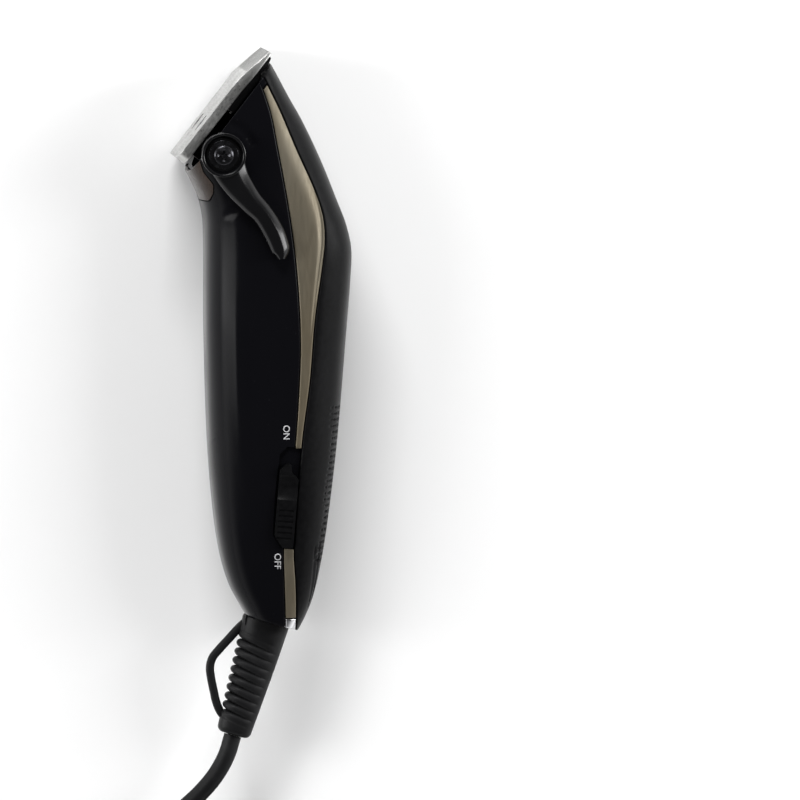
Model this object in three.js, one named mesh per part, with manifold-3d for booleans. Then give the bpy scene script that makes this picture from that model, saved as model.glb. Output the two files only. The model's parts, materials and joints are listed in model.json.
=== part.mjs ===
// Corded hair clipper lying on its plain side, lever side up.
// Millimetres. +Z up, +Y towards the blade, -X towards the blade face, +X towards the grip.
import * as THREE from 'three';
import { mergeVertices } from 'three/addons/utils/BufferGeometryUtils.js';
import Module from 'manifold-3d';

const wasm = await Module();
wasm.setup();

// ---------------------------------------------------------------- driving dimensions
const GAP = 0.3;
const WALL = 2.4;
const FLAT_HALF = 21.5; // half depth between the two flat sides
const SECTION_POWER = 3.2; // superellipse exponent of the housing's section
const TRIM_THICK = 1.0;
const BODY_LOW = -72;
const BODY_HIGH = 98;

// Outlines of the housing, as [y, value] pairs from tail to head.
const FRONT_LINE = [[-72, -2], [-65, -5], [-59.4, -8.2], [-52.6, -11.8], [-43.4, -14.5], [-29.7, -16.5],
  [-10, -18], [20, -18.9], [50, -19.1], [57, -20.2], [62, -22.2], [66.3, -24.4], [72, -26.6],
  [80, -23], [98, -10]];
const BACK_LINE = [[-72, 2], [-66, 7.2], [-60, 10.4], [-54.3, 12.4], [-45.7, 14.3], [-34.3, 16.1],
  [-11.4, 18.8], [20.6, 21.5], [34.3, 22.6], [43.4, 22.9], [50.3, 21.5], [57.1, 18.9], [68.6, 14.3],
  [80, 8.9], [86.9, 5], [94.3, 1], [98, -1.2]];
const HALF_WIDTH = [[-72, 8.5], [-66, 11.5], [-60, 14], [-50, 16.8], [-40, 18.8], [-25, 20.8],
  [-10, 21.9], [10, 22.3], [40, 22.5], [70, 22.2], [98, 21]];
const TRIM_FRONT = [[-72, 3.4], [-61.2, 3.3], [-52.6, 2.9], [-40.3, 2.6], [-11.2, 5.7], [9.7, 7],
  [21.1, 7.1], [35.4, 6.3], [46.8, 5.1], [58.2, 3.4], [72.5, 0.8], [84, -1.5], [98, -6.6]];
const TRIM_REAR = [[-72, 6.7], [-61.2, 6.6], [-52.6, 6.3], [-40.3, 5.6], [-11.2, 7.7], [6.8, 10],
  [24, 11.4], [38.2, 13.4], [46.8, 14.3], [54, 13.7], [61.1, 11.4], [72.5, 6.3], [84, 1.4],
  [92, -2.6], [98, -5.6]];

// Blade frame: s runs from heel to teeth, t outwards from the blade's face, z across.
const HEEL = new THREE.Vector3(-27.75, 70.1, 0);
const BLADE_ANGLE = THREE.MathUtils.degToRad(52);
const BLADE_LENGTH = 40;
const BLADE_THICK = 3;
const HEAD_CUT = -5.2; // the housing ends this far behind the blade's face
const TRIM_TOP = -7.5;

// Tail plane, square to the cord's strain relief.
const TAIL = new THREE.Vector3(-1.2, -62.9, 0);
const TAIL_DIRECTION = new THREE.Vector3(-0.28, -0.96, 0).normalize();
const CLIP_TOP = -61.5;

const LEVER = new THREE.Vector3(-14.8, 71.2, 0);
const HUB_RADIUS = 6.3;
const SHAFT_RADIUS = 2.6;
const PIN_RADIUS = 1.4;

const SWITCH = new THREE.Vector3(3.6, -27, 20.5);
const SWITCH_TURN = THREE.MathUtils.degToRad(-4.4);
const SWITCH_LEAN = THREE.MathUtils.degToRad(5.5);

const POWER_SCREW = new THREE.Vector3(-6.5, 77, 0);
const CORD_RADIUS = 2.5;
const COIL_CENTRE = new THREE.Vector3(-10, -152, 0);
const COIL_MID = 25.5; // radius at the middle of its turns
const COIL_LAYERS = 4;
const COIL_COLUMNS = 3;
const TURN_PITCH = 5.1;
const FLOOR = -FLAT_HALF;
const STACK = 6.5; // half depth of the motor's laminations
const CORE_SCREW_Z = -14.5;
const CORE_SCREW_TIP = -13.5; // stays inside the front wall, which is thinnest at the lower screw

// ---------------------------------------------------------------- materials
const finish = (color, roughness, metalness = 0) =>
  new THREE.MeshStandardMaterial({ color, roughness, metalness });
const GLOSS_BLACK = finish(0x0b0b0d, 0.18);
const SATIN_BLACK = finish(0x141416, 0.45);
const CHAMPAGNE = finish(0xb39a78, 0.25, 0.9);
const BRONZE = finish(0x8a6f60, 0.22, 0.9);
const CHROME = finish(0xd8d8da, 0.12, 1);
const STEEL = finish(0xb9babb, 0.32, 1);
const OXIDE_STEEL = finish(0x66676a, 0.3, 1);
const DARK_STEEL = finish(0x3b3c3f, 0.3, 1);
const IRON = finish(0x55565a, 0.5, 0.8);
const COPPER = finish(0xa5502b, 0.35, 0.9);
const WHITE_PLASTIC = finish(0xd9d7cf, 0.5);
const RUBBER = finish(0x121213, 0.6);
const BRASS = finish(0xc8a452, 0.3, 0.9);
const BLUE_WIRE = finish(0x2a5aa0, 0.5);
const BROWN_WIRE = finish(0x5b3720, 0.5);

// ---------------------------------------------------------------- solid helpers
function solid(geometry) {
  const bare = geometry.clone();
  bare.deleteAttribute('normal');
  bare.deleteAttribute('uv');
  const welded = mergeVertices(bare, 1e-4);
  const index = welded.index.array;
  const kept = [];
  for (let i = 0; i < index.length; i += 3) {
    const [a, b, c] = [index[i], index[i + 1], index[i + 2]];
    if (a !== b && b !== c && a !== c) kept.push(a, b, c);
  }
  return new wasm.Manifold(new wasm.Mesh({
    numProp: 3,
    vertProperties: new Float32Array(welded.attributes.position.array),
    triVerts: new Uint32Array(kept),
  }));
}

function toGeometry(shape) {
  const mesh = shape.getMesh();
  const geometry = new THREE.BufferGeometry();
  geometry.setAttribute('position', new THREE.BufferAttribute(mesh.vertProperties, 3));
  geometry.setIndex(new THREE.BufferAttribute(mesh.triVerts, 1));
  geometry.computeVertexNormals();
  return geometry;
}

// Boxes are given by their low and high corners.
function box(low, high) {
  const size = high.map((value, k) => value - low[k]);
  const geometry = new THREE.BoxGeometry(...size);
  geometry.translate(...low.map((value, k) => value + size[k] / 2));
  return solid(geometry);
}

function rod(radius, from, to, sides = 20) {
  const start = new THREE.Vector3(...from);
  const along = new THREE.Vector3(...to).sub(start);
  const geometry = new THREE.CylinderGeometry(radius, radius, along.length(), sides);
  geometry.translate(0, along.length() / 2, 0);
  const turn = new THREE.Quaternion().setFromUnitVectors(new THREE.Vector3(0, 1, 0), along.normalize());
  geometry.applyQuaternion(turn);
  geometry.translate(...start.toArray());
  return solid(geometry);
}

// Revolves a closed [radius, height] profile about the line from a point along a direction.
function turned(profile, from, direction, sides = 20) {
  const points = profile.map(([r, h]) => new THREE.Vector2(r, h));
  const geometry = new THREE.LatheGeometry(points, sides);
  const up = new THREE.Vector3(0, 1, 0);
  const aim = new THREE.Vector3(...direction).normalize();
  geometry.applyQuaternion(new THREE.Quaternion().setFromUnitVectors(up, aim));
  geometry.translate(...from);
  return solid(geometry);
}

// Extrudes an XY outline from one height to another.
function prism(outline, low, high) {
  const shape = new THREE.Shape(outline.map(([x, y]) => new THREE.Vector2(x, y)));
  const geometry = new THREE.ExtrudeGeometry(shape, { depth: high - low, bevelEnabled: false });
  geometry.translate(0, 0, low);
  return solid(geometry);
}

function sweep(points, radius, sides, steps, closedSpline = false) {
  const curve = new THREE.CatmullRomCurve3(points.map((p) => new THREE.Vector3(...p)), closedSpline);
  const ring = Array.from({ length: sides }, (_, k) => {
    const angle = (2 * Math.PI * k) / sides;
    return new THREE.Vector2(radius * Math.cos(angle), radius * Math.sin(angle));
  });
  const geometry = new THREE.ExtrudeGeometry(new THREE.Shape(ring), { steps, extrudePath: curve });
  return solid(geometry);
}

const join = (...shapes) => shapes.reduce((sum, shape) => sum.add(shape));
const cut = (shape, ...tools) => tools.reduce((rest, tool) => rest.subtract(tool), shape);

// ---------------------------------------------------------------- housing surface
// Cubic through [y, value] pairs, with finite-difference slopes.
function along(line, y) {
  const last = line.length - 1;
  const at = Math.min(Math.max(line.findIndex(([station]) => station > y), 1), last);
  const k = y >= line[last][0] ? last : at;
  const slope = (i) => {
    const [before, after] = [line[Math.max(i - 1, 0)], line[Math.min(i + 1, last)]];
    return (after[1] - before[1]) / (after[0] - before[0]);
  };
  const [[y0, v0], [y1, v1]] = [line[k - 1], line[k]];
  const span = y1 - y0;
  const f = Math.min(Math.max((y - y0) / span, 0), 1);
  const [f2, f3] = [f * f, f * f * f];
  return v0 * (2 * f3 - 3 * f2 + 1) + v1 * (3 * f2 - 2 * f3)
    + span * (slope(k - 1) * (f3 - 2 * f2 + f) + slope(k) * (f3 - f2));
}

const STATIONS = [-72, -66, -60, -54, -47, -38, -25, -8, 14, 32, 42, 50, 56, 62, 67, 73, 82, 98];
const AROUND = 28;

// The housing's outer surface moved inwards by an inset, as a closed loft.
function loft(inset) {
  const positions = [];
  for (const y of STATIONS) {
    const front = along(FRONT_LINE, y) + inset;
    const back = along(BACK_LINE, y) - inset;
    const half = Math.max(along(HALF_WIDTH, y) - inset, 1);
    const reach = Math.max((back - front) / 2, 1);
    for (let k = 0; k < AROUND; k += 1) {
      const angle = (2 * Math.PI * (k + 0.5)) / AROUND;
      const bulge = (value) => Math.sign(value) * Math.abs(value) ** (2 / SECTION_POWER);
      const z = half * bulge(Math.sin(angle));
      const limit = FLAT_HALF - inset;
      const x = (front + back) / 2 + reach * bulge(Math.cos(angle));
      positions.push(x, y, Math.min(Math.max(z, -limit), limit));
    }
  }
  const index = [];
  for (let row = 0; row < STATIONS.length - 1; row += 1) {
    for (let k = 0; k < AROUND; k += 1) {
      const [a, b] = [row * AROUND + k, row * AROUND + ((k + 1) % AROUND)];
      index.push(a, a + AROUND, b, b, a + AROUND, b + AROUND);
    }
  }
  const top = (STATIONS.length - 1) * AROUND;
  for (let k = 1; k < AROUND - 1; k += 1) {
    index.push(0, k, k + 1);
    index.push(top, top + k + 1, top + k);
  }
  const geometry = new THREE.BufferGeometry();
  geometry.setAttribute('position', new THREE.Float32BufferAttribute(positions, 3));
  geometry.setIndex(index);
  return solid(geometry);
}

// A point of the blade frame in the housing's frame.
function bladePoint(s, t, z = 0) {
  const point = new THREE.Vector3(s, t, z).applyAxisAngle(new THREE.Vector3(0, 0, 1), BLADE_ANGLE);
  return point.add(HEEL);
}

// Everything behind a plane parallel to the blade's face.
function behindBlade(t) {
  const corners = [[-120, t], [120, t], [120, t - 260], [-120, t - 260]];
  return prism(corners.map(([s, depth]) => bladePoint(s, depth).toArray().slice(0, 2)), -60, 60);
}

// Everything on the head side of the tail plane moved up by a distance.
function aboveTail(distance) {
  const side = new THREE.Vector3(-TAIL_DIRECTION.y, TAIL_DIRECTION.x, 0);
  const corner = (across, up) => TAIL.clone().addScaledVector(side, across)
    .addScaledVector(TAIL_DIRECTION, -up).toArray().slice(0, 2);
  const corners = [corner(-60, distance), corner(60, distance), corner(60, 240), corner(-60, 240)];
  return prism(corners.reverse(), -60, 60);
}

function strip(leftLine, leftShift, rightLine, rightShift, low, high) {
  const count = 20;
  const rows = Array.from({ length: count + 1 }, (_, k) => low + ((high - low) * k) / count);
  const left = rows.map((y) => [along(leftLine, y) + leftShift, y]);
  const right = rows.map((y) => [along(rightLine, y) + rightShift, y]).reverse();
  return [...left, ...right];
}

const FAR_LEFT = [[BODY_LOW, -60], [BODY_HIGH, -60]];
const FAR_RIGHT = [[BODY_LOW, 60], [BODY_HIGH, 60]];
const between = (...edges) => prism(strip(...edges, BODY_LOW, BODY_HIGH), -60, 60);

const outer = loft(0).intersect(behindBlade(HEAD_CUT)).intersect(aboveTail(0));
const inner = loft(WALL).intersect(aboveTail(WALL));
const housing = outer.subtract(inner);
const leftHalf = box([-60, -90, 0], [60, 120, 60]);
const rightHalf = box([-60, -90, -60], [60, 120, 0]);

// ---------------------------------------------------------------- placing pieces
const clipper = new THREE.Group();
const blade = new THREE.Group();
blade.position.copy(HEEL);
blade.rotation.z = BLADE_ANGLE;
const slider = new THREE.Group();
slider.position.copy(SWITCH);
slider.rotation.set(SWITCH_LEAN, 0, SWITCH_TURN, 'ZXY');
clipper.add(blade, slider);
slider.updateMatrix();
blade.updateMatrix();

const inFrame = (shape, group) => shape.transform(group.matrix.toArray());

function piece(name, shape, material, group = clipper) {
  const mesh = new THREE.Mesh(toGeometry(shape), material);
  mesh.name = name;
  group.add(mesh);
  return mesh;
}

// A cross recess for a screw head, sunk from a point along a direction.
function crossRecess(at, depth) {
  const [x, y, z] = at;
  return join(
    box([x - 1.5, y - 0.35, z - depth], [x + 1.5, y + 0.35, z + 1]),
    box([x - 0.35, y - 1.5, z - depth], [x + 0.35, y + 1.5, z + 1]),
  );
}

// ---------------------------------------------------------------- switch pocket
const POCKET_OUTLINE = [[-3.2, -10.8], [-0.6, -14.2], [4.5, -14.2], [4.5, 10.7], [1, 10.7], [1, 14.9],
  [-1.2, 14.9], [-3.2, 12.6]];
const POCKET_DEPTH = 1.6;
const pocket = inFrame(prism(POCKET_OUTLINE, -POCKET_DEPTH, 6), slider);
const stemSlot = inFrame(box([-1.3, -7.3, -6], [1.3, 1.8, 0]), slider);

// ---------------------------------------------------------------- front shell
function frontShell() {
  const body = housing.intersect(between(FAR_LEFT, 0, TRIM_REAR, 0));
  const skin = loft(-3).subtract(loft(TRIM_THICK + GAP));
  const groove = skin.intersect(between(TRIM_FRONT, 0, FAR_RIGHT, 0)).intersect(behindBlade(TRIM_TOP + GAP));
  const bezelSkin = loft(-3).subtract(loft(TRIM_THICK + GAP)).intersect(bezelRegion(GAP));
  const post = (y) => rod(3, [-17.5, y, CORE_SCREW_Z], [-STACK - GAP, y, CORE_SCREW_Z], 14);
  const rib = (x0, x1, y0, y1, half) => box([x0, y0, -half], [x1, y1, half]);
  const posts = join(post(-21), post(7)).intersect(loft(1.5));
  const ribs = join(rib(3.5, 8, 57, 64, 20), rib(-1, 3.5, -52, -46, 15)).intersect(loft(1.5))
    .subtract(rod(4.5, [0, -49, 0], [0, -49, 30]));
  const boss = rod(4.6, [POWER_SCREW.x, POWER_SCREW.y, -20.4], [POWER_SCREW.x, POWER_SCREW.y, -15]);
  const shell = join(cut(body, groove, bezelSkin), posts, ribs, boss);
  const leverHole = rod(SHAFT_RADIUS + GAP, [LEVER.x, LEVER.y, 10], [LEVER.x, LEVER.y, 30]);
  const screwHole = (y) => rod(1.8, [CORE_SCREW_TIP - GAP, y, CORE_SCREW_Z], [0, y, CORE_SCREW_Z], 12);
  const coverHole = (x, y) => rod(1.8, [x, y, 0], [x + 14, y, 0], 12);
  const relief = rod(5.5, TAIL.clone().addScaledVector(TAIL_DIRECTION, -8).toArray(),
    TAIL.clone().addScaledVector(TAIL_DIRECTION, 4).toArray());
  const powerHole = join(
    rod(1.9, [POWER_SCREW.x, POWER_SCREW.y, -30], [POWER_SCREW.x, POWER_SCREW.y, 0], 16),
    rod(3.2, [POWER_SCREW.x, POWER_SCREW.y, -30], [POWER_SCREW.x, POWER_SCREW.y, -19.6]),
  );
  const window = inFrame(box([15, -9.5, -30], [31, 10, 30]), blade);
  return cut(shell, leverHole, screwHole(-21), screwHole(7), coverHole(-0.2, 60.5), coverHole(-4, -49),
    relief, powerHole, window, pocket, stemSlot);
}

// The corner under the blade's heel that the metal bezel wraps, on the lever side.
function bezelRegion(grow) {
  const outline = [[-34, 57.8 - grow], [-18.4, 57.8 - grow], [-17.4 + grow, 60], [-17.4 + grow, 62.5],
    [-20.2 + grow, 66], [-21.5 + grow, 70], [-21.5 + grow, 90], [-34, 90]];
  return prism(outline, -12 - grow, 40);
}

piece('front_shell', frontShell(), GLOSS_BLACK);
const bezel = outer.subtract(loft(TRIM_THICK)).intersect(bezelRegion(0))
  .intersect(behindBlade(HEAD_CUT - GAP));
piece('throat_bezel', bezel, BRONZE);

// ---------------------------------------------------------------- rear cover
const COVER_SCREWS = [
  { name: 'cover_screw_1', y: 60.5, rib: 8 },
  { name: 'cover_screw_2', y: -49, rib: 3.5 },
];

function rearCover() {
  const body = housing.intersect(between(TRIM_REAR, GAP, FAR_RIGHT, 0));
  const bosses = COVER_SCREWS.map(({ y, rib }) =>
    rod(4.2, [rib + GAP, y, 0], [along(BACK_LINE, y) - 1.2, y, 0], 16));
  const holes = COVER_SCREWS.map(({ y }) => join(
    rod(1.8, [0, y, 0], [40, y, 0], 12),
    rod(3, [along(BACK_LINE, y) - 2.5, y, 0], [40, y, 0], 16),
  ));
  return cut(join(body, ...bosses), ...holes);
}
piece('rear_cover', rearCover(), SATIN_BLACK);

for (const { name, y, rib } of COVER_SCREWS) {
  const face = along(BACK_LINE, y) - 2.5 + GAP;
  const shank = face - rib + 5;
  const profile = [[0, 0], [1.4, 0], [1.4, shank], [2.6, shank], [2.6, shank + 1.4], [0, shank + 1.8]];
  const screw = turned(profile, [rib - 5, y, 0], [1, 0, 0], 16);
  piece(name, screw, DARK_STEEL);
}

// ---------------------------------------------------------------- trims and tail clips
const trimSkin = outer.subtract(loft(TRIM_THICK)).intersect(between(TRIM_FRONT, GAP, TRIM_REAR, 0))
  .intersect(behindBlade(TRIM_TOP));
const grownOutline = POCKET_OUTLINE.map(([x, y]) => [x * 1.1, y + Math.sign(y) * GAP]);
const pocketGap = inFrame(prism(grownOutline, -9, 9), slider);
const aboveClip = box([-60, CLIP_TOP, -60], [60, 120, 60]);
const belowClip = box([-60, -90, -60], [60, CLIP_TOP - GAP, 60]);
const sideTrim = cut(trimSkin.intersect(aboveClip).intersect(leftHalf), pocketGap);
piece('left_trim', sideTrim.intersect(box([-60, -25, -60], [60, 120, 60])), CHAMPAGNE);
piece('left_lower_trim', sideTrim.intersect(box([-60, -90, -60], [60, -38, 60])), CHAMPAGNE);
piece('right_trim', trimSkin.intersect(aboveClip).intersect(rightHalf), CHAMPAGNE);
piece('left_tail_clip', trimSkin.intersect(belowClip).intersect(leftHalf), CHROME);
piece('right_tail_clip', trimSkin.intersect(belowClip).intersect(rightHalf), CHROME);

// ---------------------------------------------------------------- blade set
function comb(sLow, sHigh, half, pitch, slotWidth) {
  const count = Math.floor((half * 2 - 2) / pitch);
  const slots = [];
  for (let k = 0; k <= count; k += 1) {
    const z = (k - count / 2) * pitch;
    slots.push(box([sLow, -8, z - slotWidth / 2], [sHigh, 3, z + slotWidth / 2]));
  }
  return join(...slots);
}

// An outline in the blade's s and z directions, extruded through its thickness.
function bladeOutline(points) {
  const geometry = new THREE.ExtrudeGeometry(
    new THREE.Shape(points.map(([s, z]) => new THREE.Vector2(s, -z))), { depth: 20, bevelEnabled: false });
  geometry.rotateX(-Math.PI / 2);
  geometry.translate(0, -10, 0);
  return solid(geometry);
}

const SCREW_S = 12.1;
const SCREW_Z = 7.5;
const upDown = (half) => [half, -half];

function stationaryBlade() {
  const side = prism([[0, -BLADE_THICK], [BLADE_LENGTH, -BLADE_THICK], [BLADE_LENGTH, -2.2], [29.5, 0],
    [0.6, 0], [0, -0.5]], -30, 30);
  const plan = bladeOutline([[0, 15], [1, 17.2], [3.5, 18.5], [26, 18.8], [31, 21], [BLADE_LENGTH, 21],
    [BLADE_LENGTH, -21], [31, -21], [26, -18.8], [3.5, -18.5], [1, -17.2], [0, -15]]);
  const holes = upDown(SCREW_Z).map((z) => join(
    rod(1.8, [SCREW_S, -9, z], [SCREW_S, 3, z], 16),
    rod(2.8, [SCREW_S, -1.2, z], [SCREW_S, 3, z]),
  ));
  const pins = upDown(6.4).map((z) => rod(0.65, [7.7, -9, z], [7.7, 3, z], 12));
  return cut(side.intersect(plan), ...holes, ...pins, comb(31.5, 50, 20.6, 1.9, 0.9));
}
piece('stationary_blade', stationaryBlade(), STEEL, blade);

const bladeScrew = (z) => cut(
  turned([[0, -10.5], [1.5, -10.5], [1.5, -0.9], [2.5, -0.9], [2.5, -0.3], [2.1, 0.1], [0, 0.15]],
    [SCREW_S, 0, z], [0, 1, 0]),
  box([SCREW_S - 1.5, -0.5, z - 0.35], [SCREW_S + 1.5, 1, z + 0.35]),
  box([SCREW_S - 0.35, -0.5, z - 1.5], [SCREW_S + 0.35, 1, z + 1.5]),
);
upDown(SCREW_Z).forEach((z, k) => piece(`blade_screw_${k + 1}`, bladeScrew(z), OXIDE_STEEL, blade));

const bracket = cut(
  box([3.5, -12, -10], [14, -BLADE_THICK - GAP, 10]),
  ...upDown(SCREW_Z).map((z) => rod(1.8, [SCREW_S, -10.8, z], [SCREW_S, 0, z], 12)),
);
piece('blade_bracket', bracket, SATIN_BLACK, blade);

const CUTTER_HALF = 15;
const cutter = cut(
  box([20, -5.2, -CUTTER_HALF], [BLADE_LENGTH - 1, -BLADE_THICK - GAP, CUTTER_HALF]),
  prism([[33, -6], [40, -6], [40, -4], [39, -4], [34, -5.3]], -30, 30),
  comb(34, 50, CUTTER_HALF - 0.4, 1.9, 0.9),
);
piece('cutter', cutter, DARK_STEEL, blade);
const follower = cut(
  box([19.4, -7.9, -6], [31.6, -5.5, 6]),
  box([21.7, -9, -1.7], [40, -4, 1.7]),
);
piece('cutter_follower', follower, SATIN_BLACK, blade);

// Guide plate that the taper lever's pin shifts along the blade.
const PIN_REST = new THREE.Vector2(9.89, -12.34);
const pinSlot = PIN_RADIUS + 0.2;
const carriage = cut(
  join(box([6.5, -14.8, 10.6], [20, -9.8, 14.6]), box([16.5, -9.8, -12], [32, -8.2, 14.6]),
    box([16.5, -10.5, 10.6], [20, -9, 14.6])),
  box([19.4, -12, -4.5], [30.6, -7, 4.5]),
  box([PIN_REST.x - pinSlot, -16, 9], [PIN_REST.x + pinSlot, PIN_REST.y + pinSlot + 0.3, 16]),
);
piece('taper_carriage', carriage, SATIN_BLACK, blade);
const springRoute = [[31, -10.6, 7], [24, -10.7, 6.8], [19, -10.8, 6.4], [17.2, -10.8, 3],
  [17.2, -10.8, -3], [19, -10.8, -6.4], [24, -10.7, -6.8], [31, -10.6, -7]];
piece('tension_spring', sweep(springRoute, 0.45, 6, 20), STEEL, blade);

// ---------------------------------------------------------------- taper lever
// Centre line of the lever's arm from the hub, and its half widths.
const ARM_LINE = [[0, 0], [3.2, -7], [7.6, -13], [11.3, -17], [14.4, -22.2], [16.2, -27], [16.6, -29.6]];
const ARM_HALF = [5.6, 4.3, 3.4, 3, 3, 2.7, 0.6];

function armOutline() {
  const last = ARM_LINE.length - 1;
  const sides = [1, -1].map((side) => ARM_LINE.map(([x, y], k) => {
    const [before, after] = [ARM_LINE[Math.max(k - 1, 0)], ARM_LINE[Math.min(k + 1, last)]];
    const way = new THREE.Vector2(after[0] - before[0], after[1] - before[1]).normalize();
    const half = side * ARM_HALF[k];
    return new THREE.Vector2(LEVER.x + x - way.y * half, LEVER.y + y + way.x * half);
  }));
  const smooth = (points) => new THREE.SplineCurve(points).getPoints(16).map((p) => [p.x, p.y]);
  return [...smooth(sides[1]), ...smooth(sides[0]).reverse()];
}

const HUB_LOW = 21.8;
const RECESS_FLOOR = 25;
const leverAt = (z) => [LEVER.x, LEVER.y, z];
const lever = cut(
  join(rod(HUB_RADIUS, leverAt(HUB_LOW), leverAt(26.9), 32), prism(armOutline(), 22.8, 26.2)),
  rod(4.6, leverAt(RECESS_FLOOR), leverAt(30), 28),
  rod(SHAFT_RADIUS + GAP, leverAt(10), leverAt(30)),
);
piece('taper_lever', lever, GLOSS_BLACK);
const washer = cut(rod(4.2, leverAt(25.3), leverAt(25.9), 24), rod(1.6, leverAt(25), leverAt(26), 16));
piece('lever_washer', washer, DARK_STEEL);
const leverScrewProfile = [[0, 18], [1.2, 18], [1.2, 26.2], [2.8, 26.2], [2.8, 26.9], [2, 27.6], [0, 27.9]];
const leverScrew = cut(
  turned(leverScrewProfile, leverAt(0), [0, 0, 1], 24),
  crossRecess(leverAt(27.6), 0.8),
);
piece('lever_screw', leverScrew, DARK_STEEL);
const pinAt = bladePoint(PIN_REST.x, PIN_REST.y);
const taperShaft = cut(
  join(rod(SHAFT_RADIUS, leverAt(15.4), leverAt(24.7)), rod(3.4, leverAt(15.4), leverAt(17.4), 20),
    rod(PIN_RADIUS, [pinAt.x, pinAt.y, 10.9], [pinAt.x, pinAt.y, 16], 16)),
  rod(1.5, leverAt(17.7), leverAt(30), 16),
);
piece('taper_shaft', taperShaft, SATIN_BLACK);

// ---------------------------------------------------------------- power screw
const powerScrew = cut(
  turned([[0, 0.3], [1.9, 0.3], [2.7, 0.8], [2.7, 1.6], [1.6, 1.6], [1.6, 13], [0, 13.4]],
    [POWER_SCREW.x, POWER_SCREW.y, -21.5], [0, 0, 1]),
  box([POWER_SCREW.x - 3, POWER_SCREW.y - 0.4, -22], [POWER_SCREW.x + 3, POWER_SCREW.y + 0.4, -20.7]),
);
piece('power_screw', powerScrew, DARK_STEEL);

// ---------------------------------------------------------------- vibrator motor
const LOW_LEG = [-25, -17];
const HIGH_LEG = [3, 11];
const YOKE = [-17.5, -11.5];
const LEG_TOP = -2.6;
const leg = ([y0, y1]) => box([-STACK, y0, YOKE[0]], [STACK, y1, LEG_TOP]);
const coreHoles = [LOW_LEG, HIGH_LEG].map(([y0, y1]) =>
  rod(1.8, [-10, (y0 + y1) / 2, CORE_SCREW_Z], [10, (y0 + y1) / 2, CORE_SCREW_Z], 12));
const core = cut(join(box([-STACK, LOW_LEG[0], YOKE[0]], [STACK, HIGH_LEG[1], YOKE[1]]), leg(LOW_LEG),
  leg(HIGH_LEG)), ...coreHoles);
piece('coil_core', core, IRON);
[LOW_LEG, HIGH_LEG].forEach(([y0, y1], k) => {
  const screw = turned([[0, 0], [1.4, 0], [1.4, 21.3], [2.7, 21.3], [2.7, 22.6], [0, 23.2]],
    [CORE_SCREW_TIP, (y0 + y1) / 2, CORE_SCREW_Z], [1, 0, 0], 14);
  piece(`core_screw_${k + 1}`, screw, STEEL);
});

function around(leg2, grow, low, high) {
  return box([-STACK - grow, leg2[0] - grow, low], [STACK + grow, leg2[1] + grow, high]);
}
const bobbin = cut(
  join(around(HIGH_LEG, 1.3, -11.2, -3.2), around(HIGH_LEG, 4.9, -11.2, -10.2),
    around(HIGH_LEG, 4.9, -4.2, -3.2)),
  around(HIGH_LEG, GAP, -20, 0),
);
piece('coil_bobbin', bobbin, WHITE_PLASTIC);
const winding = cut(around(HIGH_LEG, 4.5, -9.9, -4.5), around(HIGH_LEG, 1.6, -20, 0));
piece('coil_winding', winding, COPPER);

// Armature, its leaf spring and the finger that drives the cutter.
const HALF_ARMATURE = 2;
piece('armature', box([-STACK, LOW_LEG[0], -HALF_ARMATURE], [STACK, 12, HALF_ARMATURE]), IRON);
piece('leaf_spring', box([-6, -37.5, 2.3], [6, -16, 2.8]), STEEL);
const upright = box([-6.5, -38.5, -15.5], [6.5, -33, 1.9]);
const foot = box([-6.5, -34, -15.5], [6.5, -25.3, -12.5]);
piece('armature_bracket', join(upright, foot), IRON);
const FINGER_TIP_T = -5.8;
const finger = join(
  prism([[-4.5, 4], [4.5, 4], [2.5, 13], [-4.2, 70], [-4.2, 98], [-7.7, 98], [-7.7, 70], [-2.5, 13]],
    -1.4, 1.4).intersect(behindBlade(FINGER_TIP_T)).intersect(box([-60, 12.3, -10], [60, 120, 10])),
  box([-5, 6, 2.3], [5, 14, 4.5]),
  box([-5, 12.3, -1.4], [5, 14, 4.5]),
);
piece('drive_finger', finger, WHITE_PLASTIC);

const SPRING_Y = 27;
const SPRING_X = -1.5;
function returnSpring(side) {
  const turns = 4;
  const perTurn = 8;
  const points = Array.from({ length: turns * perTurn + 1 }, (_, k) => {
    const angle = (2 * Math.PI * k) / perTurn;
    const height = 2.6 + (6 * k) / (turns * perTurn);
    return [SPRING_X + 2.1 * Math.cos(angle), SPRING_Y + 2.1 * Math.sin(angle), side * height];
  });
  return sweep(points, 0.35, 5, turns * perTurn);
}
piece('return_spring_1', returnSpring(1), STEEL);
piece('return_spring_2', returnSpring(-1), STEEL);
const ear = (middle) => box([-5, 23.5, middle - 0.6], [7.2, 30.5, middle + 0.6]);
piece('spring_bracket', join(ear(10), ear(-10), box([6, 23.5, -10.6], [7.2, 30.5, 10.6])), STEEL);

// ---------------------------------------------------------------- switch
const KNOB_OUTLINE = [[-2.85, -10.7], [-0.45, -13.9], [2.7, -13.9], [2.7, 5.9], [0.7, 7.6], [0.2, 10.1],
  [-1, 10.1], [-2.85, 8.2]];
const knobTop = 1.5;
const knobRidges = [-3, -1, 1, 3].map((y) => box([-4, y - 6.5, knobTop - 0.35], [5, y - 5.9, 4]));
const knob = cut(
  join(prism(KNOB_OUTLINE, -POCKET_DEPTH + GAP, knobTop), box([-1, -7, -8.5], [1, -3, -1])),
  ...knobRidges,
);
piece('switch_knob', knob, SATIN_BLACK, slider);
const switchBody = cut(box([-3.6, -11, -13], [3.6, 6, -6.5]), box([-1.3, -7.3, -10], [1.3, 1.8, 0]));
piece('switch_body', switchBody, SATIN_BLACK, slider);

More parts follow.
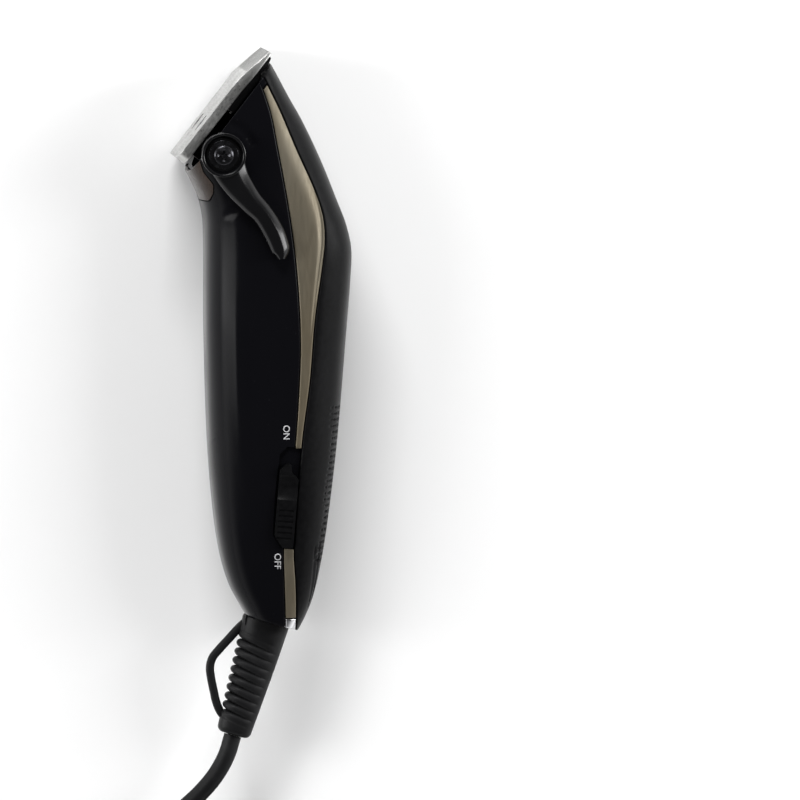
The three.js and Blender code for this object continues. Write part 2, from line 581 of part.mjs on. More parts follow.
// ---------------------------------------------------------------- tail, strain relief and leads
function strainRelief() {
  const ribs = 11;
  const length = 34;
  const pitch = 2.7;
  const start = 3.4;
  const lip = -WALL - GAP;
  const profile = [[0, lip - 2], [5.8, lip - 2], [5.8, lip], [5.2, lip], [5.2, GAP], [6.8, GAP]];
  profile.push([6.8, start]);
  for (let k = 0; k < ribs; k += 1) {
    const radius = 6.3 - (2 * k) / ribs;
    const h = start + k * pitch;
    profile.push([radius - 1, h], [radius - 1, h + 1.2], [radius, h + 1.2], [radius, h + pitch]);
  }
  profile.push([4.3, length], [0, length]);
  const body = turned(profile, TAIL.toArray(), TAIL_DIRECTION.toArray(), 12);
  const collar = prism([[-9.2, -61], [-9.6, -63.8], [-3, -65.7], [-3, -62.9]], -4.5, 4.5);
  const loopRoute = [[-6, -63.7, 0], [-9.3, -63.9, 0], [-12.9, -67.4, 0], [-16.7, -71.6, 0],
    [-17.6, -75.4, 0], [-17.2, -79, 0], [-16.1, -82.8, 0], [-14.6, -86.2, 0], [-12, -89.6, 0], [-10, -91, 0]];
  return join(body, collar, sweep(loopRoute, 1.4, 8, 22));
}
piece('strain_relief', strainRelief(), RUBBER);
piece('cord_clamp', box([-5, -57.2, 4.2], [5.5, -54, 6.8]), SATIN_BLACK);
piece('terminal_block', box([-6, -45, 5], [-1.5, -39.5, 11]), WHITE_PLASTIC);
const blueRoute = [[1.4, -56.8, 1.5], [4, -54, -2], [6, -50, -6], [8.4, -42, -8.5], [9.2, -30, -9],
  [9.4, -14, -8.6], [9.2, -7, -8], [8.6, -3, -7.4]];
const brownRoute = [[-1.8, -56.8, 1.8], [-3.5, -53, 3], [-7, -48, 6], [-8, -42, 8], [-6.5, -37, 9.6],
  [-4.2, -34, 10.2], [-1.9, -32, 10.4]];
const WIRE_RADIUS = 0.7;
piece('lead_blue', sweep(blueRoute, WIRE_RADIUS, 6, 22), BLUE_WIRE);
piece('lead_brown', sweep(brownRoute, WIRE_RADIUS, 6, 16), BROWN_WIRE);

// ---------------------------------------------------------------- cord, coil and plug
const CORD_START = TAIL.clone().addScaledVector(TAIL_DIRECTION, 34 + GAP);
const LAID = FLOOR + CORD_RADIUS + 0.12;
// Hand-picked points of the cord from the clipper to the coil's top layer.
const TOP_LAYER = LAID + (COIL_LAYERS - 1) * TURN_PITCH;
const LEAD_ROUTE = [CORD_START.toArray(), [-12.6, -101.6, -0.1], [-15.8, -107.4, -0.4], [-20.4, -112.8, -0.9],
  [-26, -118, -1.5], [-31.6, -123.8, -2.2], [-36.4, -130.8, -2.9], [-39.6, -138.6, -3.4],
  [-40.6, -145.8, TOP_LAYER], [-40.6, -152, TOP_LAYER]];
// And from the coil's bottom layer to the plug.
const PLUG = new THREE.Vector3(-19, -195.8, FLOOR + 6.7);
const TAIL_ROUTE = [[-40.6, -152, LAID], [-40.6, -159, LAID], [-40.6, -166, LAID], [-40.5, -173.8, LAID],
  [-38.9, -182.2, LAID + 0.3], [-34.2, -189.4, LAID + 1.3], [-27.3, -194.1, LAID + 2.9],
  [-22.3, -195.5, LAID + 3.9], [PLUG.x - GAP, PLUG.y, PLUG.z]];

function coilRing(grow) {
  const halfWidth = (COIL_COLUMNS * TURN_PITCH) / 2 + grow;
  const height = COIL_LAYERS * TURN_PITCH + grow;
  const corners = [[-halfWidth, -grow], [halfWidth, -grow], [halfWidth, height], [-halfWidth, height]];
  const profile = [...corners, corners[0]].map(([r, h]) => [COIL_MID + r, h]);
  return turned(profile, [COIL_CENTRE.x, COIL_CENTRE.y, FLOOR], [0, 0, 1], 40);
}
const grownRing = coilRing(GAP);
piece('cord_lead', cut(sweep(LEAD_ROUTE, CORD_RADIUS, 10, 26), grownRing), RUBBER);
piece('cord_coil', coilRing(0), RUBBER);
piece('cord_tail', cut(sweep(TAIL_ROUTE, CORD_RADIUS, 10, 26), grownRing), RUBBER);

const PLUG_NECK = 14;
const PLUG_LENGTH = 25;
const PLUG_HALF_WIDTH = 10;
const PLUG_HALF_THICK = 6.5;
const BLADE_SPACING = 12.7;
const BLADE_SIZE = [17, 1.5, 6.3]; // length out of the plug, thickness and width

function plugBody() {
  const face = PLUG_NECK + PLUG_LENGTH;
  const half = [[PLUG_NECK, 6], [PLUG_NECK + 4, 9.5], [face - 1.5, PLUG_HALF_WIDTH],
    [face, PLUG_HALF_WIDTH - 1.5]];
  const outline = [...half.map(([x, y]) => [x, -y]), ...half.reverse()];
  const body = prism(outline, -PLUG_HALF_THICK, PLUG_HALF_THICK);
  const neck = turned([[0, 0], [3.6, 0], [5.2, PLUG_NECK + 1], [0, PLUG_NECK + 1]], [0, 0, 0], [1, 0, 0]);
  const slot = (y) => box([face - 12, y - 1.1, -3.5], [face + 1, y + 1.1, 3.5]);
  const slots = upDown(BLADE_SPACING / 2).map(slot);
  return cut(join(body, neck), ...slots).translate(PLUG.toArray());
}
piece('plug_body', plugBody(), RUBBER);
upDown(BLADE_SPACING / 2).forEach((y, k) => {
  const [length, thick, width] = BLADE_SIZE;
  const face = PLUG_NECK + PLUG_LENGTH;
  const bladePin = box([face - 11.7, y - thick / 2, -width / 2], [face + length, y + thick / 2, width / 2]);
  piece(`plug_blade_${k + 1}`, bladePin.translate(PLUG.toArray()), BRASS);
});

// ---------------------------------------------------------------- origin at the base's centre
const CORD_PIECES = ['cord_lead', 'cord_coil', 'cord_tail', 'plug_body', 'plug_blade_1', 'plug_blade_2'];
const extent = new THREE.Box3();
clipper.updateMatrixWorld(true);
clipper.traverse((part) => {
  if (part.isMesh && !CORD_PIECES.includes(part.name)) extent.expandByObject(part, true);
});
const middle = extent.getCenter(new THREE.Vector3());
clipper.position.set(-middle.x, -middle.y, -extent.min.z);

export default clipper;
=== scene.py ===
"""Corded hair clipper lying on its plain side, lever side up. Metres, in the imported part's frame."""
import json
import math

import bmesh
import bpy
import numpy as np
from mathutils import Matrix, Vector


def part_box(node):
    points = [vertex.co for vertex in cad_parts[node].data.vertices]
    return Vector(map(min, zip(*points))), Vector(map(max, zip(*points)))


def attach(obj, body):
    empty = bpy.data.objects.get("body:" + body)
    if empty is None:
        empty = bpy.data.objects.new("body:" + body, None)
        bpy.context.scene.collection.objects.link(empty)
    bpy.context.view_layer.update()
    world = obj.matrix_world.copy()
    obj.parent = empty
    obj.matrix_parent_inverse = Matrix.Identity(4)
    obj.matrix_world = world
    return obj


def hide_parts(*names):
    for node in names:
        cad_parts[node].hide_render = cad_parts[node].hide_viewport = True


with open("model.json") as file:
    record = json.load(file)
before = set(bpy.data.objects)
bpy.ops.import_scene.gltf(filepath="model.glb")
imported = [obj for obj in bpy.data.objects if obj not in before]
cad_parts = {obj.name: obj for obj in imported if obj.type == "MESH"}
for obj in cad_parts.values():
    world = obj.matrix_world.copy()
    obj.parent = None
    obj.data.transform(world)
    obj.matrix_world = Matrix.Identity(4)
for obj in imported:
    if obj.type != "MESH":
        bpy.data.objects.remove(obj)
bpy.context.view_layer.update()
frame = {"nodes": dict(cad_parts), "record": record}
scene = bpy.context.scene

# ---------------------------------------------------------------- driving dimensions, millimetres
# Shapes are drawn about the housing's mid plane, as in the part, and moved into the row's frame by to_row().
GAP = 0.3  # clearance between neighbouring pieces
WALL = 2.4
FLAT_HALF = 21.5  # half the distance between the flat sides
SECTION_POWER = 3.2  # of the superellipse that the housing's section is
TRIM_THICK = 1.0
HEEL = (-27.75, 70.1)  # where the blade's face starts
BLADE_ANGLE = math.radians(52)
BLADE_LENGTH = 40
BLADE_THICK = 3
HEAD_CUT = -5.2  # the housing ends this far behind the blade's face
TRIM_TOP = -7.5  # and the trims this far
TAIL = np.array([-1.2, -62.9, 0.0])
TAIL_DIRECTION = np.array([-0.28, -0.96, 0.0])
CLIP_TOP = -61.5
LEVER = (-14.8, 71.2)
SWITCH = Vector((3.6, -27, 20.5))
SWITCH_TURN = math.radians(-4.4)
SWITCH_LEAN = math.radians(5.5)
CORD_RADIUS = 2.5
COIL_CENTRE = (-10, -152)
COIL_MID = 25.5
COIL_LAYERS = 4
TURN_PITCH = 5.1
FLOOR = -FLAT_HALF
LAID = FLOOR + CORD_RADIUS + 0.12  # height of a cord that lies on the floor
PLUG = np.array([-19, -195.8, FLOOR + 6.7])

coil_low, coil_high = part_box("cord_coil")
COIL_MIDDLE = (coil_low + coil_high) / 2 * 1000
SHIFT = np.array([COIL_MIDDLE.x - COIL_CENTRE[0], COIL_MIDDLE.y - COIL_CENTRE[1], FLAT_HALF])


def to_row(points):
    """Points about the mid plane in millimetres, as points of the row's frame in metres."""
    return (np.asarray(points, float) + SHIFT) / 1000


# ---------------------------------------------------------------- camera
VIEW_TILT = (-0.069, 0.054, 0.996)  # from the part to the camera: about 5 degrees off straight above
VIEW_DISTANCE = 5.0
SENSOR_WIDTH = 36
VIEW_WIDTH = 0.2286
VIEW_CENTRE = (37.14, 0, 0)


def make_camera():
    data = bpy.data.cameras.new("camera")
    data.sensor_width = SENSOR_WIDTH
    data.lens = SENSOR_WIDTH * VIEW_DISTANCE / VIEW_WIDTH
    data.clip_start = 0.01
    camera = bpy.data.objects.new("camera", data)
    scene.collection.objects.link(camera)
    back = Vector(VIEW_TILT).normalized()
    right = Vector((0, 1, 0)).cross(back).normalized()
    turn = Matrix((right, back.cross(right), back)).transposed()
    place = Vector(to_row(VIEW_CENTRE)) + back * VIEW_DISTANCE
    camera.matrix_world = Matrix.Translation(place) @ turn.to_4x4()
    scene.camera = camera


make_camera()

# ---------------------------------------------------------------- cord
# The same points as the part's cord solids.
CORD_START = TAIL + 34.3 * TAIL_DIRECTION
TOP_LAYER = LAID + (COIL_LAYERS - 1) * TURN_PITCH
LEAD_ROUTE = [tuple(CORD_START), (-12.6, -101.6, -0.1), (-15.8, -107.4, -0.4), (-20.4, -112.8, -0.9),
              (-26, -118, -1.5), (-31.6, -123.8, -2.2), (-36.4, -130.8, -2.9), (-39.6, -138.6, -3.4),
              (-40.6, -145.8, TOP_LAYER)]
TAIL_ROUTE = [(-40.6, -159, LAID), (-40.6, -166, LAID), (-40.5, -173.8, LAID), (-38.9, -182.2, LAID + 0.3),
              (-34.2, -189.4, LAID + 1.3), (-27.3, -194.1, LAID + 2.9), (-22.3, -195.5, LAID + 3.9),
              (PLUG[0] - GAP, PLUG[1], PLUG[2])]
# Where each turn of the coil lies, as (column, layer), from the outer top one to the outer bottom one.
COIL_CELLS = [(2, 3), (1, 3), (0, 3), (0, 2), (1, 2), (2, 2), (2, 1), (1, 1), (0, 1), (0, 0), (1, 0), (2, 0)]
CELL_TURN = 260  # degrees from the start of one step between cells to the start of the next
STEP_TURN = 100  # degrees that a step takes
COIL_TURNS = 9
COIL_STEP = 10  # degrees between points


def coil_route():
    """The cord's turns: one stays in its cell, then steps to the next before the turn above it gets there."""
    points = []
    for degrees in range(0, COIL_TURNS * 360 + 1, COIL_STEP):
        number = degrees // CELL_TURN - 1
        share = min(max((degrees - CELL_TURN * (number + 1)) / STEP_TURN, 0), 1)
        eased = 2 * share ** 2 if share < 0.5 else 1 - 2 * (1 - share) ** 2
        here = COIL_CELLS[max(number, 0)]
        after = COIL_CELLS[min(number + 1, len(COIL_CELLS) - 1)]
        column, layer = [a + (b - a) * eased for a, b in zip(here, after)]
        radius = COIL_MID + (column - 1) * TURN_PITCH
        angle = math.pi + math.radians(degrees)
        points.append((COIL_CENTRE[0] + radius * math.cos(angle), COIL_CENTRE[1] + radius * math.sin(angle),
                       LAID + layer * TURN_PITCH))
    return points


def smooth_route(points, steps=6):
    """A Catmull-Rom curve through the points, with that many steps in each span."""
    known = np.array([2 * np.array(points[0]) - points[1], *points, 2 * np.array(points[-1]) - points[-2]])
    share = np.linspace(0, 1, steps, endpoint=False)[:, None]
    spans = [0.5 * (2 * b + (c - a) * share + (2 * a - 5 * b + 4 * c - d) * share ** 2
                    + (3 * b - a - 3 * c + d) * share ** 3)
             for a, b, c, d in zip(known, known[1:], known[2:], known[3:])]
    return np.vstack([*spans, known[-2]])


TUBE_RESOLUTION = 6


def tube_curve(name, points, radius):
    """A round tube along points about the mid plane, as a curve of one open spline."""
    data = bpy.data.curves.new(name, "CURVE")
    data.dimensions = "3D"
    data.bevel_depth = 1
    data.bevel_resolution = TUBE_RESOLUTION
    data.use_fill_caps = True
    spline = data.splines.new("POLY")
    row = to_row(points)
    spline.points.add(len(row) - 1)
    spline.points.foreach_set("co", np.hstack([row, np.ones((len(row), 1))]).ravel())
    spline.points.foreach_set("radius", [radius / 1000] * len(row))
    spline.use_smooth = True
    tube = bpy.data.objects.new(name, data)
    scene.collection.objects.link(tube)
    return tube


CORD_POINTS = smooth_route([*LEAD_ROUTE, *coil_route(), *TAIL_ROUTE], steps=3)
cord = tube_curve("mains_cord", CORD_POINTS, CORD_RADIUS)
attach(cord, "housing")
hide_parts("cord_lead", "cord_coil", "cord_tail")


# ---------------------------------------------------------------- materials
class Nodes:
    """A material's node tree, with the few nodes that these finishes are made of."""

    def __init__(self, name, color, roughness, metallic=0.0):
        self.material = bpy.data.materials.new(name)
        self.material.use_nodes = True
        self.tree = self.material.node_tree
        self.shader = self.tree.nodes["Principled BSDF"]
        for socket, value in (("Base Color", (*color, 1)), ("Roughness", roughness), ("Metallic", metallic)):
            self.look(socket, value)
        self.place = self.tree.nodes.new("ShaderNodeTexCoord").outputs["Object"]

    def put(self, socket, value):
        """Sets a socket to a number or colour, or links another node's output to it."""
        if isinstance(value, bpy.types.NodeSocket):
            self.tree.links.new(value, socket)
        else:
            socket.default_value = value

    def node(self, kind, inputs, output=0, **settings):
        """Adds a node with its inputs and settings, and gives one of its outputs."""
        made = self.tree.nodes.new(f"ShaderNode{kind}")
        for key, value in settings.items():
            setattr(made, key, value)
        for key, value in inputs.items():
            self.put(made.inputs[key], value)
        return made.outputs[output]

    def noise(self, scale, detail=3, stretch=(1, 1, 1)):
        place = self.node("Mapping", {"Vector": self.place, "Scale": stretch})
        return self.node("TexNoise", {"Vector": place, "Scale": scale, "Detail": detail}, "Fac")

    def cells(self, scale):
        """Distance to the nearest of many scattered points: specks and grains."""
        return self.node("TexVoronoi", {"Vector": self.place, "Scale": scale}, "Distance")

    def waves(self, scale, direction):
        return self.node("TexWave", {"Vector": self.place, "Scale": scale}, "Fac", bands_direction=direction)

    def mapped(self, value, low, high, to_low=0.0, to_high=1.0):
        return self.node("MapRange", {"Value": value, "From Min": low, "From Max": high, "To Min": to_low,
                                      "To Max": to_high}, "Result")

    def combine(self, operation, a, b):
        return self.node("Math", {0: a, 1: b}, operation=operation)

    def mixed(self, share, low_color, high_color):
        return self.node("Mix", {"Factor": share, "A": (*low_color, 1), "B": (*high_color, 1)}, "Result",
                         data_type="RGBA")

    def look(self, socket, value):
        self.put(self.shader.inputs[socket], value)

    def bump(self, value, strength, distance):
        """Adds relief: distance is in metres."""
        self.look("Normal", self.node("Bump", {"Height": value, "Strength": strength, "Distance": distance},
                                      "Normal"))


def gloss_plastic(name, color, roughness=0.19, ior=1.17):
    """Polished moulded plastic: faint flow waves, handling smears, a few dust specks."""
    m = Nodes(name, color, roughness)
    smear = m.noise(90, 4, (1, 0.35, 1))
    m.look("Roughness", m.mapped(smear, 0.35, 0.7, roughness - 0.04, roughness + 0.1))
    dust = m.mapped(m.cells(300), 0.03, 0.06, 1, 0)
    tone = m.mixed(m.combine("MULTIPLY", dust, 0.05), color, (0.16, 0.16, 0.17))
    m.look("Base Color", tone)
    m.bump(m.noise(260, 2), 0.12, 0.00003)
    m.look("IOR", ior)
    return m.material


def satin_plastic(name, color, roughness, grain=0.35):
    """Textured moulded plastic: a fine spark-eroded grain with slightly polished patches."""
    m = Nodes(name, color, roughness)
    wear = m.noise(60, 3)
    m.look("Roughness", m.mapped(wear, 0.3, 0.7, roughness - 0.06, roughness + 0.08))
    lighter = tuple(c * 1.6 + 0.001 for c in color)
    m.look("Base Color", m.mixed(m.mapped(m.noise(700, 4), 0.3, 0.75), color, lighter))
    m.bump(m.combine("ADD", m.noise(3200, 2), m.combine("MULTIPLY", m.cells(2600), 0.5)), grain, 0.00006)
    m.look("IOR", 1.15)
    return m.material


def plated(name, color, darker, roughness, metallic=1.0):
    """Metallised trim: the plating's tone drifts along the piece, over fine drawn lines."""
    m = Nodes(name, color, roughness, metallic)
    drift = m.noise(38, 2, (1.5, 0.5, 1.5))
    m.look("Base Color", m.mixed(m.mapped(drift, 0.35, 0.65), color, darker))
    lines = m.noise(1500, 3, (1, 0.12, 1))
    m.look("Roughness", m.mapped(lines, 0.3, 0.7, roughness - 0.05, roughness + 0.09))
    m.bump(lines, 0.1, 0.00003)
    return m.material


def ground_steel(name, color, roughness, stretch=(1, 1, 0.05), lines=2200):
    """Surface-ground steel: fine parallel grinding lines, with stains and tiny pits."""
    m = Nodes(name, color, roughness, 1.0)
    grind = m.noise(lines, 4, stretch)
    stain = m.noise(120, 3)
    darker = tuple(c * 0.72 for c in color)
    m.look("Base Color", m.mixed(m.mapped(stain, 0.4, 0.75), color, darker))
    m.look("Roughness", m.mapped(grind, 0.3, 0.7, roughness - 0.08, roughness + 0.14))
    m.bump(m.combine("ADD", grind, m.combine("MULTIPLY", m.noise(5200, 2), 0.6)), 0.3, 0.00005)
    return m.material


def soft_vinyl(name, color, roughness=0.5):
    """Flexible plastic: a dull skin with shallow ripples and lighter scuffs."""
    m = Nodes(name, color, roughness)
    scuff = m.mapped(m.noise(240, 5), 0.55, 0.8)
    lighter = tuple(c * 2 + 0.004 for c in color)
    m.look("Base Color", m.mixed(m.combine("MULTIPLY", scuff, 0.5), color, lighter))
    m.look("Roughness", m.mapped(m.noise(150, 3), 0.3, 0.7, roughness - 0.1, roughness + 0.12))
    m.bump(m.combine("ADD", m.noise(1500, 3), m.noise(420, 2)), 0.25, 0.00008)
    m.look("IOR", 1.25)
    return m.material


def wound_wire(name, color):
    """Layers of fine enamelled wire, seen as ridges up the winding."""
    m = Nodes(name, color, 0.3, 0.6)
    m.bump(m.waves(1500, "Z"), 0.6, 0.0001)
    m.look("Base Color", m.mixed(m.noise(500, 2), color, tuple(c * 0.55 for c in color)))
    return m.material


def laminated(name, color):
    """A stack of stamped iron sheets, with lines between the sheets across X."""
    m = Nodes(name, color, 0.5, 0.85)
    m.bump(m.combine("ADD", m.waves(320, "X"), m.noise(900, 3)), 0.5, 0.0001)
    m.look("Roughness", m.mapped(m.noise(300, 3), 0.3, 0.7, 0.4, 0.65))
    return m.material


EVEN = (1, 1, 1)  # grain with no direction
MATERIALS = {
    "gloss_housing": gloss_plastic("gloss_black", (0.0032, 0.0032, 0.0042)),
    "satin_housing": satin_plastic("satin_black", (0.0028, 0.0028, 0.0031), 0.36),
    "lever_plastic": gloss_plastic("lever_black", (0.003, 0.003, 0.0035), 0.15, 1.4),
    "champagne_trim": plated("champagne_plating", (0.155, 0.137, 0.102), (0.13, 0.108, 0.072), 0.46, 0.6),
    "bright_metal": plated("bright_plating", (0.72, 0.72, 0.73), (0.58, 0.58, 0.6), 0.12),
    "bronze_metal": plated("bronze_plating", (0.045, 0.033, 0.027), (0.026, 0.018, 0.014), 0.28, 0.8),
    "blade_steel": ground_steel("blade_steel", (0.5, 0.5, 0.49), 0.34),
    "screw_steel": ground_steel("screw_steel", (0.34, 0.34, 0.345), 0.26, EVEN, 900),
    "dark_screw": ground_steel("blackened_steel", (0.05, 0.05, 0.055), 0.22, EVEN, 700),
    "oxide_screw": ground_steel("oxide_screw", (0.13, 0.13, 0.135), 0.28, EVEN, 900),
    # Very dark steel: on the moving cutter this darkness is painted shade for the shadowed gap between the
    # blade and the housing; the cover screws use it too.
    "dark_steel": ground_steel("dark_steel_painted_shade", (0.045, 0.045, 0.047), 0.3, EVEN, 900),
    "core_iron": laminated("laminated_iron", (0.22, 0.22, 0.23)),
    "copper_wire": wound_wire("copper_winding", (0.48, 0.17, 0.07)),
    "white_plastic": satin_plastic("white_nylon", (0.72, 0.7, 0.65), 0.4, 0.15),
    "mark_ink": satin_plastic("mark_ink", (0.4, 0.4, 0.41), 0.5, 0.1),
    "cord_rubber": soft_vinyl("cord_vinyl", (0.006, 0.006, 0.0065)),
    "blue_lead": soft_vinyl("blue_insulation", (0.03, 0.1, 0.4), 0.4),
    "brown_lead": soft_vinyl("brown_insulation", (0.12, 0.045, 0.02), 0.4),
    "plug_brass": ground_steel("plug_brass", (0.78, 0.62, 0.32), 0.22, (0.08, 1, 1), 1500),
}

for subpart in frame["record"]["subparts"]:
    node = frame["nodes"][subpart["node"]]
    node.data.materials.clear()
    node.data.materials.append(MATERIALS[subpart["material_slot"]])


# ---------------------------------------------------------------- housing surface
# Outlines of the housing as (y, value) pairs from tail to head, as in the part.
FRONT_LINE = [(-72, -2), (-65, -5), (-59.4, -8.2), (-52.6, -11.8), (-43.4, -14.5), (-29.7, -16.5),
              (-10, -18), (20, -18.9), (50, -19.1), (57, -20.2), (62, -22.2), (66.3, -24.4), (72, -26.6),
              (80, -23), (98, -10)]
BACK_LINE = [(-72, 2), (-66, 7.2), (-60, 10.4), (-54.3, 12.4), (-45.7, 14.3), (-34.3, 16.1),
             (-11.4, 18.8), (20.6, 21.5), (34.3, 22.6), (43.4, 22.9), (50.3, 21.5), (57.1, 18.9),
             (68.6, 14.3), (80, 8.9), (86.9, 5), (94.3, 1), (98, -1.2)]
HALF_WIDTH = [(-72, 8.5), (-66, 11.5), (-60, 14), (-50, 16.8), (-40, 18.8), (-25, 20.8),
              (-10, 21.9), (10, 22.3), (40, 22.5), (70, 22.2), (98, 21)]
TRIM_FRONT = [(-72, 3.4), (-61.2, 3.3), (-52.6, 2.9), (-40.3, 2.6), (-11.2, 5.7), (9.7, 7),
              (21.1, 7.1), (35.4, 6.3), (46.8, 5.1), (58.2, 3.4), (72.5, 0.8), (84, -1.5), (98, -6.6)]
TRIM_REAR = [(-72, 6.7), (-61.2, 6.6), (-52.6, 6.3), (-40.3, 5.6), (-11.2, 7.7), (6.8, 10),
             (24, 11.4), (38.2, 13.4), (46.8, 14.3), (54, 13.7), (61.1, 11.4), (72.5, 6.3), (84, 1.4),
             (92, -2.6), (98, -5.6)]


def along(line, y):
    """Smooth curve through (y, value) pairs: a cubic with finite-difference slopes."""
    stations, values = np.array(line, float).T
    slopes = np.empty_like(values)
    slopes[1:-1] = (values[2:] - values[:-2]) / (stations[2:] - stations[:-2])
    slopes[[0, -1]] = (values[[1, -1]] - values[[0, -2]]) / (stations[[1, -1]] - stations[[0, -2]])
    k = np.clip(np.searchsorted(stations, y) - 1, 0, len(stations) - 2)
    span = stations[k + 1] - stations[k]
    f = np.clip((y - stations[k]) / span, 0, 1)
    return (values[k] * (2 * f ** 3 - 3 * f ** 2 + 1) + values[k + 1] * (3 * f ** 2 - 2 * f ** 3)
            + span * (slopes[k] * (f ** 3 - 2 * f ** 2 + f) + slopes[k + 1] * (f ** 3 - f ** 2)))


FLAT_BLEND = 0.35  # how softly the section meets its flat sides
REBATE = 1.3  # depth of the step that a trim lies in
EDGE_ROUND = 0.35
EDGE_STEPS = np.array([0, 0.08, 0.29, 0.62, 1.0])  # distances from an edge, in radii of its rounding
EDGE_DROPS = 1 - np.sqrt(1 - (1 - EDGE_STEPS) ** 2)
TAIL_Y, HEAD_Y = -72, 98
ARC_SAMPLES = 500  # points that a section's arc is measured on
HEIGHT_SAMPLES = 341  # sections that a strip is measured on


def bulge(value, power):
    """A sine or cosine as a superellipse of that power has it."""
    return np.sign(value) * np.abs(value) ** (2 / power)


def section(y, angle):
    """Points of the housing's section at heights y, for superellipse angles from the back, as x and z."""
    front, back = along(FRONT_LINE, y), along(BACK_LINE, y)
    x = (front + back) / 2 + (back - front) / 2 * bulge(np.cos(angle), SECTION_POWER)
    z = along(HALF_WIDTH, y) * bulge(np.sin(angle), SECTION_POWER)
    over = np.logaddexp(0, (FLAT_HALF - np.abs(z)) / FLAT_BLEND) * FLAT_BLEND
    return x, np.sign(z) * (FLAT_HALF - over)


def angle_at(line, y):
    """Superellipse angle at which the section crosses a line on the lever side."""
    front, back = along(FRONT_LINE, y), along(BACK_LINE, y)
    share = np.clip((along(line, y) - (front + back) / 2) / ((back - front) / 2), -1, 1)
    return np.arccos(np.sign(share) * np.abs(share) ** (SECTION_POWER / 2))


def arc_points(y, start, end, places):
    """Points along one section between two angles. Places gets a function from an angle to the distance
    along the arc, and gives the distances wanted."""
    fine = np.linspace(start, end, ARC_SAMPLES)
    x, z = section(y, fine)
    run = np.concatenate([[0], np.cumsum(np.hypot(np.diff(x), np.diff(z)))])
    at = places(lambda angle: np.interp(angle, fine, run))
    return np.stack([np.interp(at, run, x), np.full(len(at), float(y)), np.interp(at, run, z)], axis=1)


def rounded_ends(low, high, middle):
    """Distances from low to high: rows for a rounded edge at each end, and the middle's shares between."""
    inner = low + EDGE_ROUND + (high - low - 2 * EDGE_ROUND) * middle
    edge = EDGE_STEPS[:-1] * EDGE_ROUND
    return np.concatenate([low + edge, inner, (high - edge)[::-1]])


def end_drops(middle):
    """How far the rows of rounded_ends() lie under the surface."""
    edge = EDGE_DROPS[:-1] * EDGE_ROUND
    return np.concatenate([edge, np.zeros(len(middle)), edge[::-1]])


def head_plane(depth):
    """Signed distance in front of the plane that lies behind the blade's face by a depth."""
    outward = np.array([-math.sin(BLADE_ANGLE), math.cos(BLADE_ANGLE)])
    return lambda points: (points[..., :2] - HEEL) @ outward - depth


def tail_plane(points):
    return (points - TAIL) @ TAIL_DIRECTION


def height(y, sign=1):
    """Signed distance past a level across the housing."""
    return lambda points: sign * (points[..., 1] - y)


def surface_grid(strip, low_cut, high_cut, middle):
    """Grid of rows over a strip of the surface. Strip gives one section's points for a height, and a cut is a
    signed distance that is zero on the plane where the strip ends."""
    heights = np.linspace(TAIL_Y, HEAD_Y, HEIGHT_SAMPLES)
    sheet = np.stack([strip(y) for y in heights])
    columns = []
    for line in sheet.transpose(1, 0, 2):
        run = np.concatenate([[0], np.cumsum(np.linalg.norm(np.diff(line, axis=0), axis=1))])
        low = np.interp(0, -low_cut(line), run)
        high = np.interp(0, high_cut(line), run)
        at = rounded_ends(low, high, middle)
        columns.append(np.stack([np.interp(at, run, line[:, axis]) for axis in range(3)], axis=1))
    return np.stack(columns, axis=1)


def grid_normals(grid):
    """Outward unit normals of a grid whose rows run up the housing and columns from back to front."""
    up = np.gradient(grid, axis=0)
    across = np.gradient(grid, axis=1)
    normals = np.cross(up, across)
    return normals / np.maximum(np.linalg.norm(normals, axis=2, keepdims=True), 1e-9)


FINE_EDGE, EDGE = 35, 40  # degrees between faces from which an edge is drawn sharp


def shade(mesh, crease):
    """Smooth shading, apart from edges sharper than an angle in degrees."""
    mesh.polygons.foreach_set("use_smooth", [True] * len(mesh.polygons))
    mesh.set_sharp_from_angle(angle=math.radians(crease))


def discard(piece):
    data = piece.data
    bpy.data.objects.remove(piece)
    bpy.data.meshes.remove(data)


def new_object(name, points, faces):
    """A mesh object from points in row metres."""
    mesh = bpy.data.meshes.new(name)
    mesh.from_pydata([tuple(p) for p in points], [], [tuple(f) for f in faces])
    mesh.validate()
    shade(mesh, EDGE)
    mesh.update()
    piece = bpy.data.objects.new(name, mesh)
    scene.collection.objects.link(piece)
    return piece


def thick_panel(name, grid, drop, thickness):
    """A closed shell: a grid sunk by the drop at each point, backed by the same grid at a thickness."""
    rows, columns = grid.shape[:2]
    normals = grid_normals(grid)
    outer = grid - normals * drop[..., None]
    inner = grid - normals * np.maximum(thickness, drop + 0.3)[..., None]
    index = np.arange(rows * columns).reshape(rows, columns)
    quads = np.stack([index[:-1, :-1], index[1:, :-1], index[1:, 1:], index[:-1, 1:]], axis=-1).reshape(-1, 4)
    rim = np.concatenate([index[0], index[1:, -1], index[-1, -2::-1], index[-2:0:-1, 0]])
    under = rows * columns
    walls = np.stack([rim, np.roll(rim, -1), np.roll(rim, -1) + under, rim + under], axis=-1)
    faces = np.concatenate([quads[:, ::-1], quads + under, walls[:, ::-1]])
    points = to_row(np.concatenate([outer.reshape(-1, 3), inner.reshape(-1, 3)]))
    return new_object(name, points, faces[:, ::-1].tolist())


def dress(piece, body, slot, *nodes, look=None):
    """Gives a piece the body it rides on and the material of its slot, or another one named by look, and
    hides the CAD nodes that it stands for."""
    piece.data.materials.clear()
    piece.data.materials.append(MATERIALS[look or slot])
    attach(piece, body)
    if nodes:
        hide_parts(*nodes)
    return piece


def apply_modifiers(piece):
    """Turns a piece's modifiers into its mesh."""
    made = bpy.data.meshes.new_from_object(piece.evaluated_get(bpy.context.evaluated_depsgraph_get()))
    piece.modifiers.clear()
    old, piece.data = piece.data, made
    bpy.data.meshes.remove(old)


